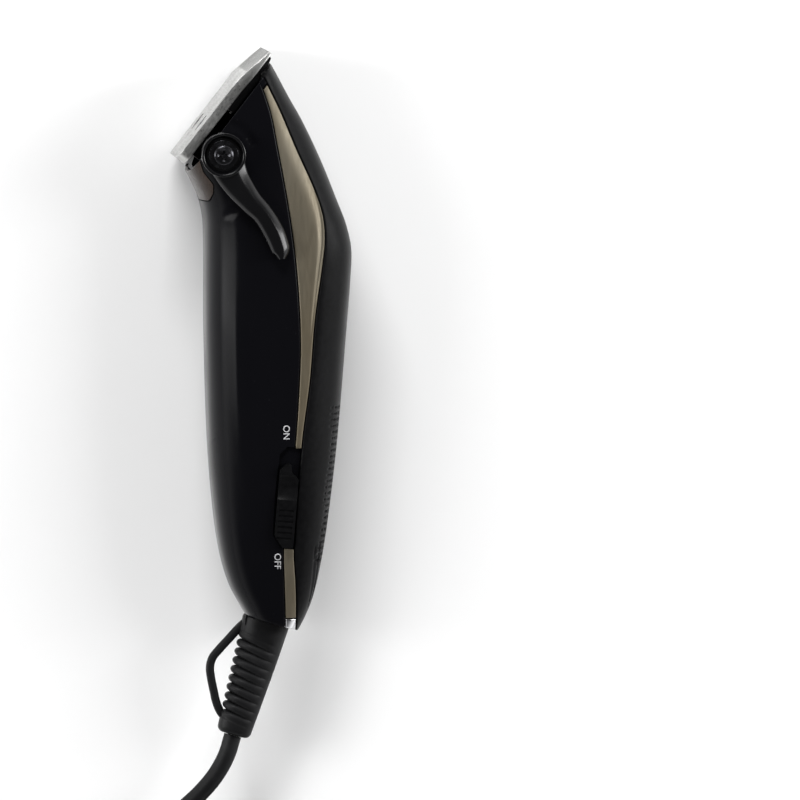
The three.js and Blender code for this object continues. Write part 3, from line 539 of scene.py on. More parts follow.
def boolean(piece, tool, operation="DIFFERENCE"):
    """Cuts, joins or intersects a piece with a tool and removes the tool."""
    modifier = piece.modifiers.new("boolean", "BOOLEAN")
    modifier.object = tool
    modifier.operation = operation
    modifier.solver = "EXACT"
    apply_modifiers(piece)
    discard(tool)
    shade(piece.data, FINE_EDGE)
    return piece


# ---------------------------------------------------------------- housing pieces
LEVER_SIDE = 10  # features of the lever side lie above this height over the mid plane
DIMPLE_PITCH = 1.75
DIMPLE_ZONE = (-45, -0.6)  # heights between which the back is dimpled
DIMPLE_RADIUS = 0.52
DIMPLE_DEPTH = 0.4
DIMPLE_REACH, REACH_GROWTH = 14.5, 3.5  # half the dimples' width round the back, and its growth up the zone
LEAF_MIDDLE, LEAF_HALF = -49, 10.5  # height of the leaf-shaped grooves, and half their length
LEAF_WIDE = 0.9
CHANNEL_RADIUS, CHANNEL_HALF, CHANNEL_DEPTH = 9, 1.3, 0.55  # the groove round the lever's hub
CHANNEL_START, CHANNEL_END = 14, 82  # degrees
CREASE_PLACE, CREASE_WIDTH = 0.16, 0.07  # the trim's crease, in shares of the trim's width
CREASE_DEPTH = 0.45
CREASE_ZONE = (18, 66)  # heights between which it shows


def shares(stops, pitches):
    """Shares of a length: between each pair of stops the points lie about a pitch apart."""
    parts = [np.linspace(a, b, max(int(round((b - a) / pitch)), 1), endpoint=False)
             for a, b, pitch in zip(stops, stops[1:], pitches)]
    values = np.concatenate([*parts, [stops[-1]]])
    return (values - values[0]) / (values[-1] - values[0])


FRONT_MIDDLE = np.linspace(0, 1, 108)
BODY_ROWS = np.linspace(0, 1, 210)
REAR_MIDDLE = shares((-37, -19, 19, 37), (1, 0.27, 1))  # close rows where the dimples are
REAR_ROWS = shares((-67, -60, 1, 95), (0.8, 0.26, 0.9))
TRIM_MIDDLE = np.linspace(0, 1, 30)


def shifted(line, shift):
    return [(y, value + shift) for y, value in line]


def ellipse_pit(grid, x, y, half_x, half_y, depth, turn):
    """Drop of a smooth oval pit on the lever side."""
    dx, dy = grid[..., 0] - x, grid[..., 1] - y
    across = dx * math.cos(turn) + dy * math.sin(turn)
    up = dy * math.cos(turn) - dx * math.sin(turn)
    out = (across / half_x) ** 2 + (up / half_y) ** 2
    return np.where(grid[..., 2] > LEVER_SIDE, depth * np.clip(1 - out, 0, 1) ** 0.6, 0)


def hub_channel(grid):
    """Drop of the groove that runs part of the way round the lever's hub."""
    away = np.hypot(grid[..., 0] - LEVER[0], grid[..., 1] - LEVER[1])
    turn = np.degrees(np.arctan2(grid[..., 1] - LEVER[1], grid[..., 0] - LEVER[0]))
    ring = np.clip(1 - ((away - CHANNEL_RADIUS) / CHANNEL_HALF) ** 4, 0, 1)
    channel = ring * np.clip((turn - CHANNEL_START) / 3, 0, 1) * np.clip((CHANNEL_END - turn) / 12, 0, 1)
    return np.where(grid[..., 2] > LEVER_SIDE, CHANNEL_DEPTH * channel, 0)


def front_strip(y):
    """One section of the front shell, from under the lever side's trim round the front to the other trim."""
    start = angle_at(TRIM_REAR, y)
    edge = angle_at(TRIM_FRONT, y)

    def places(run_at):
        low, high, end = run_at(edge), run_at(2 * math.pi - edge), run_at(2 * math.pi - start)
        step = np.array([0, 0.35, 0.7, 0.999])
        return np.concatenate([low * step, rounded_ends(low, high, FRONT_MIDDLE), (end - low * step)[::-1]])

    return arc_points(y, start, 2 * math.pi - start, places)


def front_shell():
    grid = surface_grid(front_strip, tail_plane, head_plane(HEAD_CUT), BODY_ROWS)
    step = np.full(4, REBATE)
    across = np.concatenate([step, end_drops(FRONT_MIDDLE), step])
    drop = np.maximum(across[None, :], end_drops(BODY_ROWS)[:, None])
    above_trim = head_plane(TRIM_TOP + GAP)(grid) > 0
    under_trim = np.broadcast_to(across[None, :] == REBATE, drop.shape)
    drop = np.where(above_trim & under_trim, end_drops(BODY_ROWS)[:, None], drop)
    drop = drop + ellipse_pit(grid, -12.4, 54.4, 2.4, 1.5, 0.25, 0.2) + hub_channel(grid)
    return thick_panel("housing_front", grid, drop, WALL)


def rear_cover():
    edge_line = shifted(TRIM_REAR, GAP)

    def strip(y):
        edge = angle_at(edge_line, y)
        return arc_points(y, -edge, edge, lambda run_at: rounded_ends(0, run_at(edge), REAR_MIDDLE))

    grid = surface_grid(strip, tail_plane, head_plane(HEAD_CUT), REAR_ROWS)
    drop = np.maximum(end_drops(REAR_MIDDLE)[None, :], end_drops(REAR_ROWS)[:, None])
    steps = np.linalg.norm(np.diff(grid, axis=1), axis=2)
    run = np.concatenate([np.zeros((len(grid), 1)), np.cumsum(steps, axis=1)], axis=1)
    across = run - run[:, -1:] / 2
    return thick_panel("housing_rear", grid, drop + rear_texture(across, grid[..., 1]), WALL)


def rear_texture(across, y):
    """Drop of the grip dimples round the back, and of the two leaf-shaped grooves under them on each side."""
    low, high = DIMPLE_ZONE
    reach = DIMPLE_REACH + REACH_GROWTH * np.clip((y - low) / (high - low), 0, 1)
    near_x = (across / DIMPLE_PITCH - np.round(across / DIMPLE_PITCH)) * DIMPLE_PITCH
    rows = (y - low) / DIMPLE_PITCH
    near_y = (rows - np.round(rows)) * DIMPLE_PITCH
    inside = (np.abs(np.round(across / DIMPLE_PITCH) * DIMPLE_PITCH) < reach) & (rows > -0.5) & (y < high)
    pit = np.clip(1 - (near_x ** 2 + near_y ** 2) / DIMPLE_RADIUS ** 2, 0, 1)
    drop = np.where(inside, DIMPLE_DEPTH * pit ** 0.5, 0)
    for offset, depth in ((0, 0.4), (2.6, 0.3)):
        middle = 6 + offset + 8.5 * np.clip((y + 60) / 22, 0, 1) ** 0.8
        wide = LEAF_WIDE * np.clip(1 - ((y - LEAF_MIDDLE) / LEAF_HALF) ** 2, 0, 1)
        groove = np.clip(1 - ((np.abs(across) - middle) / np.maximum(wide, 0.05)) ** 2, 0, 1)
        drop = drop + depth * groove * (wide > 0.05)
    return drop


def trim(name, side, low_cut, high_cut, rows):
    """A trim inlaid beside the seam. Side is 1 on the lever side and -1 on the plain side."""
    front_line, rear_line = shifted(TRIM_FRONT, GAP), TRIM_REAR

    def strip(y):
        low, high = angle_at(rear_line, y), angle_at(front_line, y)
        points = arc_points(y, low, high, lambda run_at: rounded_ends(0, run_at(high), TRIM_MIDDLE))
        return points if side > 0 else points[::-1] * (1, 1, -1)

    middle = np.linspace(0, 1, rows)
    grid = surface_grid(strip, low_cut, high_cut, middle)
    drop = np.maximum(end_drops(TRIM_MIDDLE)[None, :], end_drops(middle)[:, None])
    share = np.linspace(0, 1, drop.shape[1])
    share = share if side > 0 else share[::-1]
    valley = np.exp(-((share[None, :] - CREASE_PLACE) / CREASE_WIDTH) ** 2)
    low, high = CREASE_ZONE
    reach = np.clip((grid[..., 1] - low) / 16, 0, 1) * np.clip((high - grid[..., 1]) / 12, 0, 1)
    return thick_panel(name, grid, drop + CREASE_DEPTH * valley * reach, TRIM_THICK)


# ---------------------------------------------------------------- solid builders, in mid-plane millimetres
WELD_DISTANCE = 2e-7
SHORTEST_EDGE = 1e-6


def tidy_normals(piece, crease=FINE_EDGE):
    """Welds a mesh, points its faces outwards and marks its sharp edges."""
    shape = bmesh.new()
    shape.from_mesh(piece.data)
    bmesh.ops.remove_doubles(shape, verts=shape.verts, dist=WELD_DISTANCE)
    bmesh.ops.dissolve_degenerate(shape, edges=shape.edges, dist=SHORTEST_EDGE)
    rims = [edge for edge in shape.edges if len(edge.link_faces) == 1]
    bmesh.ops.holes_fill(shape, edges=rims, sides=4)
    bmesh.ops.recalc_face_normals(shape, faces=shape.faces)
    shape.to_mesh(piece.data)
    shape.free()
    shade(piece.data, crease)
    return piece


def level(x, y, z):
    return x, y, z


def on_blade(s, t, z):
    """A point of the blade's frame: s from heel to teeth, t out of its face, z across it."""
    c, d = math.cos(BLADE_ANGLE), math.sin(BLADE_ANGLE)
    return HEEL[0] + c * s - d * t, HEEL[1] + d * s + c * t, z


SLIDER = (Matrix.Translation(SWITCH) @ Matrix.Rotation(SWITCH_TURN, 4, "Z")
          @ Matrix.Rotation(SWITCH_LEAN, 4, "X"))


def on_slider(x, y, z):
    """A point of the switch's frame: y along its travel, z out of the housing."""
    return tuple(SLIDER @ Vector((x, y, z)))


def loft(name, rings, crease=FINE_EDGE, closed=False):
    """A solid through rings of equally many points: capped at its ends, or closed on itself."""
    count, rows = len(rings[0]), len(rings)
    faces = [] if closed else [tuple(range(count))[::-1], tuple(range(count * (rows - 1), count * rows))]
    for row in range(rows if closed else rows - 1):
        above = (row + 1) % rows * count
        for k in range(count):
            a, b = k, (k + 1) % count
            faces.append((row * count + a, row * count + b, above + b, above + a))
    return tidy_normals(new_object(name, to_row(np.concatenate(rings)), faces), crease)


def prism(name, outline, low, high, place=level):
    """An outline extruded from one height to another, in the frame that place gives."""
    return loft(name, [[place(a, b, h) for a, b in outline] for h in (low, high)])


def block(name, low, high, place=level):
    (x0, y0, z0), (x1, y1, z1) = low, high
    return prism(name, [(x0, y0), (x1, y0), (x1, y1), (x0, y1)], z0, z1, place)


POLE = 0.04  # radius that stands for the axis itself
LATHE_EDGE = 30


def lathe(name, profile, place, around=48, closed=False):
    """A (radius, height) profile revolved about the third axis of a frame. A tiny radius stands for the axis,
    and a closed profile makes a ring."""
    turns = [2 * math.pi * k / around for k in range(around)]
    rings = [[place(max(r, POLE) * math.cos(a), max(r, POLE) * math.sin(a), h) for a in turns]
             for r, h in profile]
    return loft(name, rings, LATHE_EDGE, closed)


def corner_arc(before, corner, after, radius, steps):
    """Points that round one corner."""
    before, corner, after = Vector(before), Vector(corner), Vector(after)
    arm = min(radius, (before - corner).length * 0.45, (after - corner).length * 0.45)
    a = corner + (before - corner).normalized() * arm
    b = corner + (after - corner).normalized() * arm
    shares_along = [k / steps for k in range(steps + 1)]
    return [tuple(a * (1 - f) ** 2 + corner * (2 * f * (1 - f)) + b * f ** 2) for f in shares_along]


def rounded(profile, radius, steps=4):
    """An open profile with its inner corners rounded."""
    made = [tuple(profile[0])]
    for before, corner, after in zip(profile, profile[1:], profile[2:]):
        made += corner_arc(before, corner, after, radius, steps)
    return [*made, tuple(profile[-1])]


def rounded_loop(outline, radius, steps=4):
    """A closed outline with all its corners rounded."""
    made = []
    for k, corner in enumerate(outline):
        made += corner_arc(outline[k - 1], corner, outline[(k + 1) % len(outline)], radius, steps)
    return made


def around_z(x, y):
    return lambda a, b, h: (x + a, y + b, h)


def bevelled(piece, width, segments=2, angle=30):
    """Rounds a piece's sharp edges by a width in millimetres."""
    modifier = piece.modifiers.new("edges", "BEVEL")
    modifier.width = width / 1000
    modifier.segments = segments
    modifier.limit_method = "ANGLE"
    modifier.angle_limit = math.radians(angle)
    apply_modifiers(piece)
    shade(piece.data, EDGE)
    return piece


def merged(name, *pieces):
    """Several objects as one."""
    base = pieces[0]
    for other in pieces[1:]:
        boolean(base, other, "UNION")
    base.name = name
    return base


def together(name, pieces):
    """Separate solids as one object."""
    shape = bmesh.new()
    for piece in pieces:
        shape.from_mesh(piece.data)
    mesh = bpy.data.meshes.new(name)
    shape.to_mesh(mesh)
    shape.free()
    for piece in pieces:
        discard(piece)
    made = bpy.data.objects.new(name, mesh)
    scene.collection.objects.link(made)
    return tidy_normals(made)


def superellipse(half_x, half_y, power, count):
    """The outline of a superellipse."""
    angles = np.linspace(0, 2 * math.pi, count, endpoint=False)
    return list(zip(half_x * bulge(np.cos(angles), power), half_y * bulge(np.sin(angles), power)))


def directions(route):
    """Unit vectors along a route at each of its points."""
    way = np.gradient(route, axis=0)
    return way / np.linalg.norm(way, axis=1, keepdims=True)


def ribbon(name, route, half_wide, half_deep):
    """A bar of rounded section along a level route."""
    outline = superellipse(half_wide, half_deep, 3.2, 20)
    rings = [[(x - dy * a, y + dx * a, z + b) for a, b in outline]
             for (x, y, z), (dx, dy, _) in zip(route, directions(route))]
    return loft(name, rings, EDGE)


# ---------------------------------------------------------------- blade
SCREW_S = 12.1
SCREW_Z = 7.5
TOOTH_PITCH = 1.9
SLOT_WIDTH = 0.85
SLOT_FLARE = 0.12  # how much each side of a slot widens towards the teeth's tips
THROUGH = (-9, 2)  # heights between which a hole's tool runs through the blade
CROSS_SIZE, CROSS_WIDTH = 0.72, 0.17  # a screw's recess, in radii of its head
HEAD_DEPTH, DOME_DEPTH = 0.42, 0.22  # a screw's head and its domed part, in radii of the head


def arc(centre, radius, start, end, steps=8):
    """Points on an arc between two angles in degrees."""
    return [(centre[0] + radius * math.cos(math.radians(a)), centre[1] + radius * math.sin(math.radians(a)))
            for a in np.linspace(start, end, steps)]


def blade_plan():
    """The blade's outline in s and z: rounded heel corners, straight sides and a wider toothed end."""
    half = [*arc((3.6, 14.9), 3.6, 180, 90), (14, 18.6), (25.5, 18.8), (27.2, 19.1), (30.6, 20.8), (32, 21),
            (38.6, 21), (BLADE_LENGTH, 20.2)]
    return half + [(s, -z) for s, z in half[::-1]]


def comb_slots(name, start, end, half, low, high):
    """Round-ended slots between the teeth, as one tool."""
    count = int((2 * half - 2) / TOOTH_PITCH)
    slots = []
    for k in range(count + 1):
        z = (k - count / 2) * TOOTH_PITCH
        outline = [*arc((start + SLOT_WIDTH / 2, z), SLOT_WIDTH / 2, 90, 270, 7),
                   (end, z - SLOT_WIDTH / 2 - SLOT_FLARE), (end, z + SLOT_WIDTH / 2 + SLOT_FLARE)]
        slots.append(prism("slot", outline, low, high, lambda s, zz, t: on_blade(s, t, zz)))
    return together(name, slots)


def blade_peg(name, s, z, radius, low, high, around=32):
    return lathe(name, [(radius, low), (radius, high)], lambda a, b, t: on_blade(s + a, t, z + b), around)


def stationary_blade():
    face = lambda s, z, t: on_blade(s, t, z)
    plate = prism("blade_plate", blade_plan(), -BLADE_THICK, 0, face)
    slope = [(29.3, 0), (BLADE_LENGTH + 1, -2.28), (BLADE_LENGTH + 1, 2), (29.3, 2)]
    boolean(plate, prism("slope", slope, -30, 30, on_blade))
    bevelled(plate, 0.22, 3)
    for side in (1, -1):
        boolean(plate, blade_peg("hole", SCREW_S, side * SCREW_Z, 2.8, -1.2, 2))
        boolean(plate, blade_peg("hole", SCREW_S, side * SCREW_Z, 1.8, *THROUGH))
        boolean(plate, blade_peg("hole", 7.7, side * 6.4, 0.65, *THROUGH, 20))
    boolean(plate, comb_slots("slots", 31.5, 42, 20.2, -8, 3))
    return plate


def cross_tool(place, size, width, low, high):
    """A tapered cross recess."""
    arms = []
    for turn in (0, 1):
        rings = []
        for h, share in ((low - 0.03 * turn, 0.45), (high + 0.03 * turn, 1.0)):
            a, b = size * share, width * share
            ring = [(-a, -b), (a, -b), (a, b), (-a, b)]
            rings.append([place(*((y, x) if turn else (x, y)), h) for x, y in ring])
        arms.append(loft("arm", rings))
    return merged("cross", *arms)


def screw(name, place, radius, top, shank, shank_radius):
    """A pan-head screw with a cross recess. Top is the height of the head's crown."""
    seat, shoulder = top - HEAD_DEPTH * radius, top - DOME_DEPTH * radius
    head = [(0, top - shank), (shank_radius, top - shank), (shank_radius, seat), (radius, seat),
            (radius, shoulder)]
    dome = [(radius * math.cos(a), top - DOME_DEPTH * radius * (1 - math.sin(a)))
            for a in np.linspace(0, math.pi / 2, 10)]
    body = lathe(name, head + dome[1:], place, 56)
    tool = cross_tool(place, radius * CROSS_SIZE, radius * CROSS_WIDTH, seat, top + 0.1)
    return bevelled(boolean(body, tool), 0.05, 2, 40)


def blade_set():
    dress(stationary_blade(), "housing", "blade_steel", "stationary_blade")
    for number, side in ((1, 1), (2, -1)):
        place = lambda a, b, t, z=side * SCREW_Z: on_blade(SCREW_S + a, t, z + b)
        head = screw(f"blade_screw_head_{number}", place, 2.5, 0.15, 9, 1.5)
        dress(head, "housing", "oxide_screw", f"blade_screw_{number}")


# ---------------------------------------------------------------- bezel, pocket and openings of the housing
BEZEL_OUTLINE = [(-34, 57.8), (-18.4, 57.8), (-17.4, 60), (-17.4, 62.5), (-20.2, 66), (-21.5, 70),
                 (-21.5, 90), (-34, 90)]
BEZEL_LOW, BEZEL_SIDE = 50, -12  # where the skin that the bezel is cut from starts, up and across the housing
FRONT_SKIN_EDGE = [(TAIL_Y, BEZEL_SIDE), (HEAD_Y, BEZEL_SIDE)]
POWER_SCREW = (-6.5, 77)
COVER_SCREW_HEIGHTS = (60.5, -49)


def front_skin(name, low_y, depth, out, thickness):
    """A skin over the housing's front, between a height and the head."""
    share = np.linspace(0, 1, 70)

    def strip(y):
        start = angle_at(FRONT_SKIN_EDGE, y)
        return arc_points(y, start, 2 * math.pi - start, lambda run_at: rounded_ends(0, run_at(7), share))

    rows = np.linspace(0, 1, 60)
    grid = surface_grid(strip, height(low_y, -1), head_plane(depth), rows)
    drop = np.full(grid.shape[:2], -out)
    if out == 0:
        drop = np.maximum(end_drops(share)[None, :], end_drops(rows)[:, None])
    return thick_panel(name, grid, drop, thickness)


def bezel_tool(grow):
    outline = [(x + (grow if x > -30 else 0), y - (grow if y < 58 else 0)) for x, y in BEZEL_OUTLINE]
    return prism("bezel_region", rounded_loop(outline, 0.6), BEZEL_SIDE - grow, 40)


def throat_bezel():
    bezel = front_skin("bezel", BEZEL_LOW, HEAD_CUT - GAP, 0, TRIM_THICK)
    boolean(bezel, bezel_tool(0), "INTERSECT")
    return bevelled(bezel, 0.18, 2, 50)


POCKET_OUTLINE = [(-3.2, -10.8), (-0.6, -14.2), (4.5, -14.2), (4.5, 10.7), (1, 10.7), (1, 14.9), (-1.2, 14.9),
                  (-3.2, 12.6)]
POCKET_DEPTH = 1.6


def grown(outline, step):
    """An outline moved outwards by a distance."""
    points = np.array(outline, float)
    way = np.roll(points, -1, axis=0) - points
    way /= np.linalg.norm(way, axis=1, keepdims=True)
    out = np.stack([way[:, 1], -way[:, 0]], axis=1)
    before = np.roll(out, 1, axis=0)
    return points + step * (out + before) / (1 + (out * before).sum(1, keepdims=True))


def pocket_tool(step, depth):
    """The switch's pocket, with a flared rim."""
    rings = [[on_slider(x, y, h) for x, y in grown(POCKET_OUTLINE, step + flare)]
             for h, flare in ((-depth, 0), (-0.35, 0), (3, 3.0))]
    return loft("pocket", rings)


def open_housing(shell, cover):
    """Cuts the shell's pocket, bezel seat and screw hole, and the cover's screw wells."""
    seat = front_skin("seat", BEZEL_LOW, HEAD_CUT + 2, 2, TRIM_THICK + GAP)
    boolean(seat, bezel_tool(GAP), "INTERSECT")
    boolean(shell, seat)
    boolean(shell, pocket_tool(0, POCKET_DEPTH))
    well = around_z(*POWER_SCREW)
    boolean(shell, lathe("well", rounded([(3.2, -30), (3.2, -19.6), (1.9, -19.6), (1.9, -10)], 0.2), well))
    for y in COVER_SCREW_HEIGHTS:
        back = float(along(BACK_LINE, y))
        place = lambda a, b, h, y=y: (h, y + a, b)
        boolean(cover, lathe("well", [(1.8, 0), (1.8, back - 2.5), (3, back - 2.5), (3, 40)], place))


def tail_plate():
    """The wall that closes the housing's tail round the strain relief."""
    corners = superellipse(6.2, 9.2, 3.4, 48)
    side = np.array([-TAIL_DIRECTION[1], TAIL_DIRECTION[0], 0])
    middle = TAIL + side * 2.6
    rings = [[tuple(middle + side * a - TAIL_DIRECTION * h + np.array([0, 0, b])) for a, b in corners]
             for h in (0.5, 2.2)]
    return loft("tail_plate", rings)


# ---------------------------------------------------------------- taper lever
ARM_LINE = [(0, 0), (3.2, -7), (7.6, -13), (11.3, -17), (14.4, -22.2), (16.2, -27), (16.6, -29.6)]
ARM_HALF = [5.6, 4.3, 3.4, 3, 3, 2.7, 1.2]
ARM_LOW, ARM_HIGH = 22.8, 26.2
ARM_FALL = 0.25  # how much lower the crown is at the thumb end
# The arm's top from side to side, as (share of the half width, drop below the crown).
ARM_CROWN = [(-1, 1.5), (-0.88, 0.9), (-0.66, 0.35), (-0.4, 0.05), (0, 0), (0.3, 0.02), (0.52, 0.3),
             (0.78, 0.9), (0.95, 1.5), (1, 2.0)]
HUB_RADIUS = 6.3
HUB_PROFILE = [(0, 21.8), (HUB_RADIUS, 21.8), (HUB_RADIUS, 26.9), (5.5, 26.9), (5.0, 25.0), (0, 25.0)]


def lever_arm():
    """The arm: a low curved bar with a broad soft bevel on each side, tapering to the thumb end."""
    route = smooth_route([(x, y, 0) for x, y in ARM_LINE], 8)
    stations = np.linspace(0, 1, len(route))
    half = np.interp(stations, np.linspace(0, 1, len(ARM_HALF)), ARM_HALF)
    rings = []
    for (x, y, _), (dx, dy, _), share, wide in zip(route, directions(route), stations, half):
        crown = ARM_HIGH - ARM_FALL * share
        outline = [(-1, ARM_LOW), *((a, crown - drop) for a, drop in ARM_CROWN), (1, ARM_LOW)]
        rings.append([(LEVER[0] + x - dy * a * wide, LEVER[1] + y + dx * a * wide, z)
                      for a, z in rounded_loop(outline, 0.25, 2)])
    return loft("arm", rings, 45)


def taper_lever():
    hub = lathe("hub", rounded(HUB_PROFILE, 0.55, 6), around_z(*LEVER), 72)
    arm = lever_arm()
    boolean(arm, lathe("bore", [(5.2, 10), (5.2, 30)], around_z(*LEVER), 72))
    merged("lever_body", hub, arm)
    boolean(hub, lathe("bore", [(2.9, 10), (2.9, 30)], around_z(*LEVER), 48))
    return tidy_normals(hub)


def lever_set():
    dress(taper_lever(), "lever", "lever_plastic", "taper_lever")
    ring = rounded_loop([(1.7, 25.3), (4.2, 25.3), (4.2, 25.9), (1.7, 25.9)], 0.12)
    washer = lathe("washer", ring, around_z(*LEVER), 56, closed=True)
    dress(washer, "lever", "dark_screw", "lever_washer")
    head = screw("lever_screw_head", around_z(*LEVER), 2.8, 27.6, 9, 1.2)
    dress(head, "lever", "dark_screw", "lever_screw")


# ---------------------------------------------------------------- switch
KNOB_OUTLINE = [(-2.85, -10.7), (-0.45, -13.9), (2.7, -13.9), (2.7, 5.9), (0.7, 7.6), (0.2, 10.1), (-1, 10.1),
                (-2.85, 8.2)]
KNOB_TOP = 1.5
GROOVE_STARTS = (-11.6, -10, -8.4, -6.8, -5.2, -3.6)
GROOVE_WIDTH = 0.7
WORD_SIZE = 2.65
WORD_ABOVE = 60  # height from which a word is dropped onto the housing
INK = 0.03  # how far the ink stands proud


def switch_knob():
    """The sliding button: a thumb dish at its upper end and grip grooves below it."""
    knob = prism("knob", rounded_loop(KNOB_OUTLINE, 0.4), GAP - POCKET_DEPTH, KNOB_TOP, on_slider)
    dish = lathe("dish", [(7, -10), (7, 10)], lambda a, b, h: on_slider(h, 3.5 + a, KNOB_TOP + 6 + b), 64)
    boolean(knob, dish)
    for y in GROOVE_STARTS:
        boolean(knob, block("groove", (-2.2, y, KNOB_TOP - 0.3), (2.1, y + GROOVE_WIDTH, 4), on_slider))
    return bevelled(knob, 0.16, 3)


def printed_word(word, x, y, shell):
    """A printed mark that follows the housing's surface and reads from head to tail."""
    text = bpy.data.curves.new("mark", "FONT")
    text.body = word
    text.size = WORD_SIZE / 1000
    text.align_x, text.align_y = "CENTER", "CENTER"
    source = bpy.data.objects.new("mark", text)
    scene.collection.objects.link(source)
    flat = bpy.data.meshes.new_from_object(source.evaluated_get(bpy.context.evaluated_depsgraph_get()))
    bpy.data.objects.remove(source)
    centre = to_row((x, y, WORD_ABOVE))
    points = []
    for vertex in flat.vertices:
        start = Vector(centre) + Vector((vertex.co.y, -vertex.co.x, 0))
        points.append(shell.ray_cast(start, (0, 0, -1))[1] + Vector((0, 0, INK / 1000)))
    piece = new_object(f"mark_{word.lower()}", points, [tuple(f.vertices) for f in flat.polygons])
    bpy.data.meshes.remove(flat)
    skin = piece.modifiers.new("ink", "SOLIDIFY")
    skin.thickness = 2 * INK / 1000
    apply_modifiers(piece)
    return dress(piece, "housing", "white_plastic", look="mark_ink")


# ---------------------------------------------------------------- strain relief
BOOT_SIDE = np.array([TAIL_DIRECTION[1], -TAIL_DIRECTION[0], 0])
RELIEF_LENGTH = 34
FIN_PITCH = 2.55
FIN_START = 6.6
FIN_COUNT = 10
FIN_SLANT = 0.15
FIN_DEPTH = 1.7
COLLAR_OUTLINE = [(-7.3, -60.9), (-7.6, -63.9), (-3, -65.9), (-2, -62.7)]
BOOT_POWER = 2.6  # of the superellipse that the boot's section is
LOOP_ROUTE = [(-6.2, -62.6, 0), (-8.6, -64.6, 0), (-11.6, -67.8, 0), (-14.8, -71.3, 0), (-16.6, -73.6, 0),
              (-17.3, -76.4, 0), (-16.9, -79.8, 0), (-16.2, -83.2, 0), (-15.4, -86.6, 0), (-13.9, -89.6, 0),
              (-11.2, -91.2, 0)]


def on_boot(a, b, h):
    """A point of the boot's frame: a towards its side, b across the housing, h along the cord."""
    return tuple(TAIL + TAIL_DIRECTION * h + BOOT_SIDE * a + np.array([0, 0, b]))


def strain_relief():
    """The boot: a tapered block with fins on its loop side, whose grooves run out across it, and the loop."""
    heights = np.linspace(0.3, RELIEF_LENGTH, 300)
    angles = np.linspace(0, 2 * math.pi, 72, endpoint=False)
    across, along_z = bulge(np.cos(angles), BOOT_POWER), bulge(np.sin(angles), BOOT_POWER)
    rings = []
    for h in heights:
        wide = 6.8 - 2.0 * (h / RELIEF_LENGTH) ** 1.2
        deep = 6.6 - 2.2 * h / RELIEF_LENGTH
        end = np.clip((h - RELIEF_LENGTH + 1.6) / 1.6, 0, 1)
        shrink = 1 - 0.3 * (1 - math.sqrt(1 - 0.98 * end ** 2))
        turn = (h + FIN_SLANT * wide * across - FIN_START) / FIN_PITCH
        off_crest = 2 * np.abs(turn - np.round(turn))
        groove = 1 - np.sqrt(1 - np.minimum(off_crest, 1) ** 2)
        finned = np.clip(2 * (turn + 0.5), 0, 1) * np.clip(2 * (FIN_COUNT - 0.5 - turn), 0, 1)
        fade = np.clip(0.62 + 0.75 * np.cos(angles), 0, 1)
        depth = FIN_DEPTH * groove * fade * finned
        a = (wide * shrink - depth) * across
        b = (deep * shrink - depth * 0.8) * along_z
        rings.append([on_boot(x, z, h) for x, z in zip(a, b)])
    boot = loft("boot", rings, 60)
    lip = [(0, -4.7), (5.8, -4.7), (5.8, -2.7), (5.2, -2.7), (5.2, 0.6), (0, 0.6)]
    neck = lathe("neck", lip, on_boot)
    collar = prism("collar", rounded_loop(COLLAR_OUTLINE, 0.4), -4.5, 4.5)
    loop = ribbon("loop", smooth_route(LOOP_ROUTE, 5), 1.2, 1.5)
    return merged("cord_boot", boot, neck, collar, loop)


# ---------------------------------------------------------------- plug and tie
PLUG_NECK = 14
PLUG_LENGTH = 25
PLUG_FACE = PLUG_NECK + PLUG_LENGTH
BLADE_SPACING = 12.7
CONTACT_HALF = 3.15
TIE_HALF = 5
TIE_THICK_HALF = 0.4
TIE_PLACE = math.radians(52)  # where round the coil the tie is


def on_plug(x, y, z):
    """A point of the plug's frame: x from the cord to the contacts."""
    return tuple(PLUG + np.array([x, y, z]))


def plug_body():
    """A moulded plug: ribbed neck, waisted body with finger grooves, flat face."""
    stations = [(0, 3.6, 3.6), (1, 3.75, 3.75)]
    for k in range(5):
        x = 1.8 + k * 2.3
        stations += [(x, 3.9 + 0.25 * k, 3.9 + 0.2 * k), (x + 0.25, 3.1 + 0.25 * k, 3.1 + 0.2 * k),
                     (x + 0.75, 3.1 + 0.27 * k, 3.1 + 0.22 * k), (x + 1, 3.95 + 0.28 * k, 3.95 + 0.22 * k)]
    stations += [(13.6, 5.2, 5.0), (15, 6.4, 5.5), (17.5, 8.8, 6.1), (20, 9.7, 6.4)]
    for k in range(4):
        x = 21 + k * 3
        stations += [(x, 9.8, 6.45), (x + 0.4, 9.5, 5.95), (x + 1.3, 9.5, 5.9), (x + 1.7, 9.85, 6.45)]
    stations += [(PLUG_FACE - 4, 10, 6.5), (PLUG_FACE - 0.9, 10, 6.5), (PLUG_FACE - 0.25, 9.75, 6.25),
                 (PLUG_FACE, 9.2, 5.7)]
    power = lambda x: 2.1 + 2.2 * min(max((x - 12) / 8, 0), 1)
    rings = [[on_plug(x, a, b) for a, b in superellipse(wide, deep, power(x), 64)]
             for x, wide, deep in stations]
    body = loft("plug_moulding", rings, 50)
    for y in (BLADE_SPACING / 2, -BLADE_SPACING / 2):
        low, high = on_plug(PLUG_FACE - 12, y - 1.1, -3.5), on_plug(PLUG_FACE + 1, y + 1.1, 3.5)
        boolean(body, block("slot", low, high))
    return body


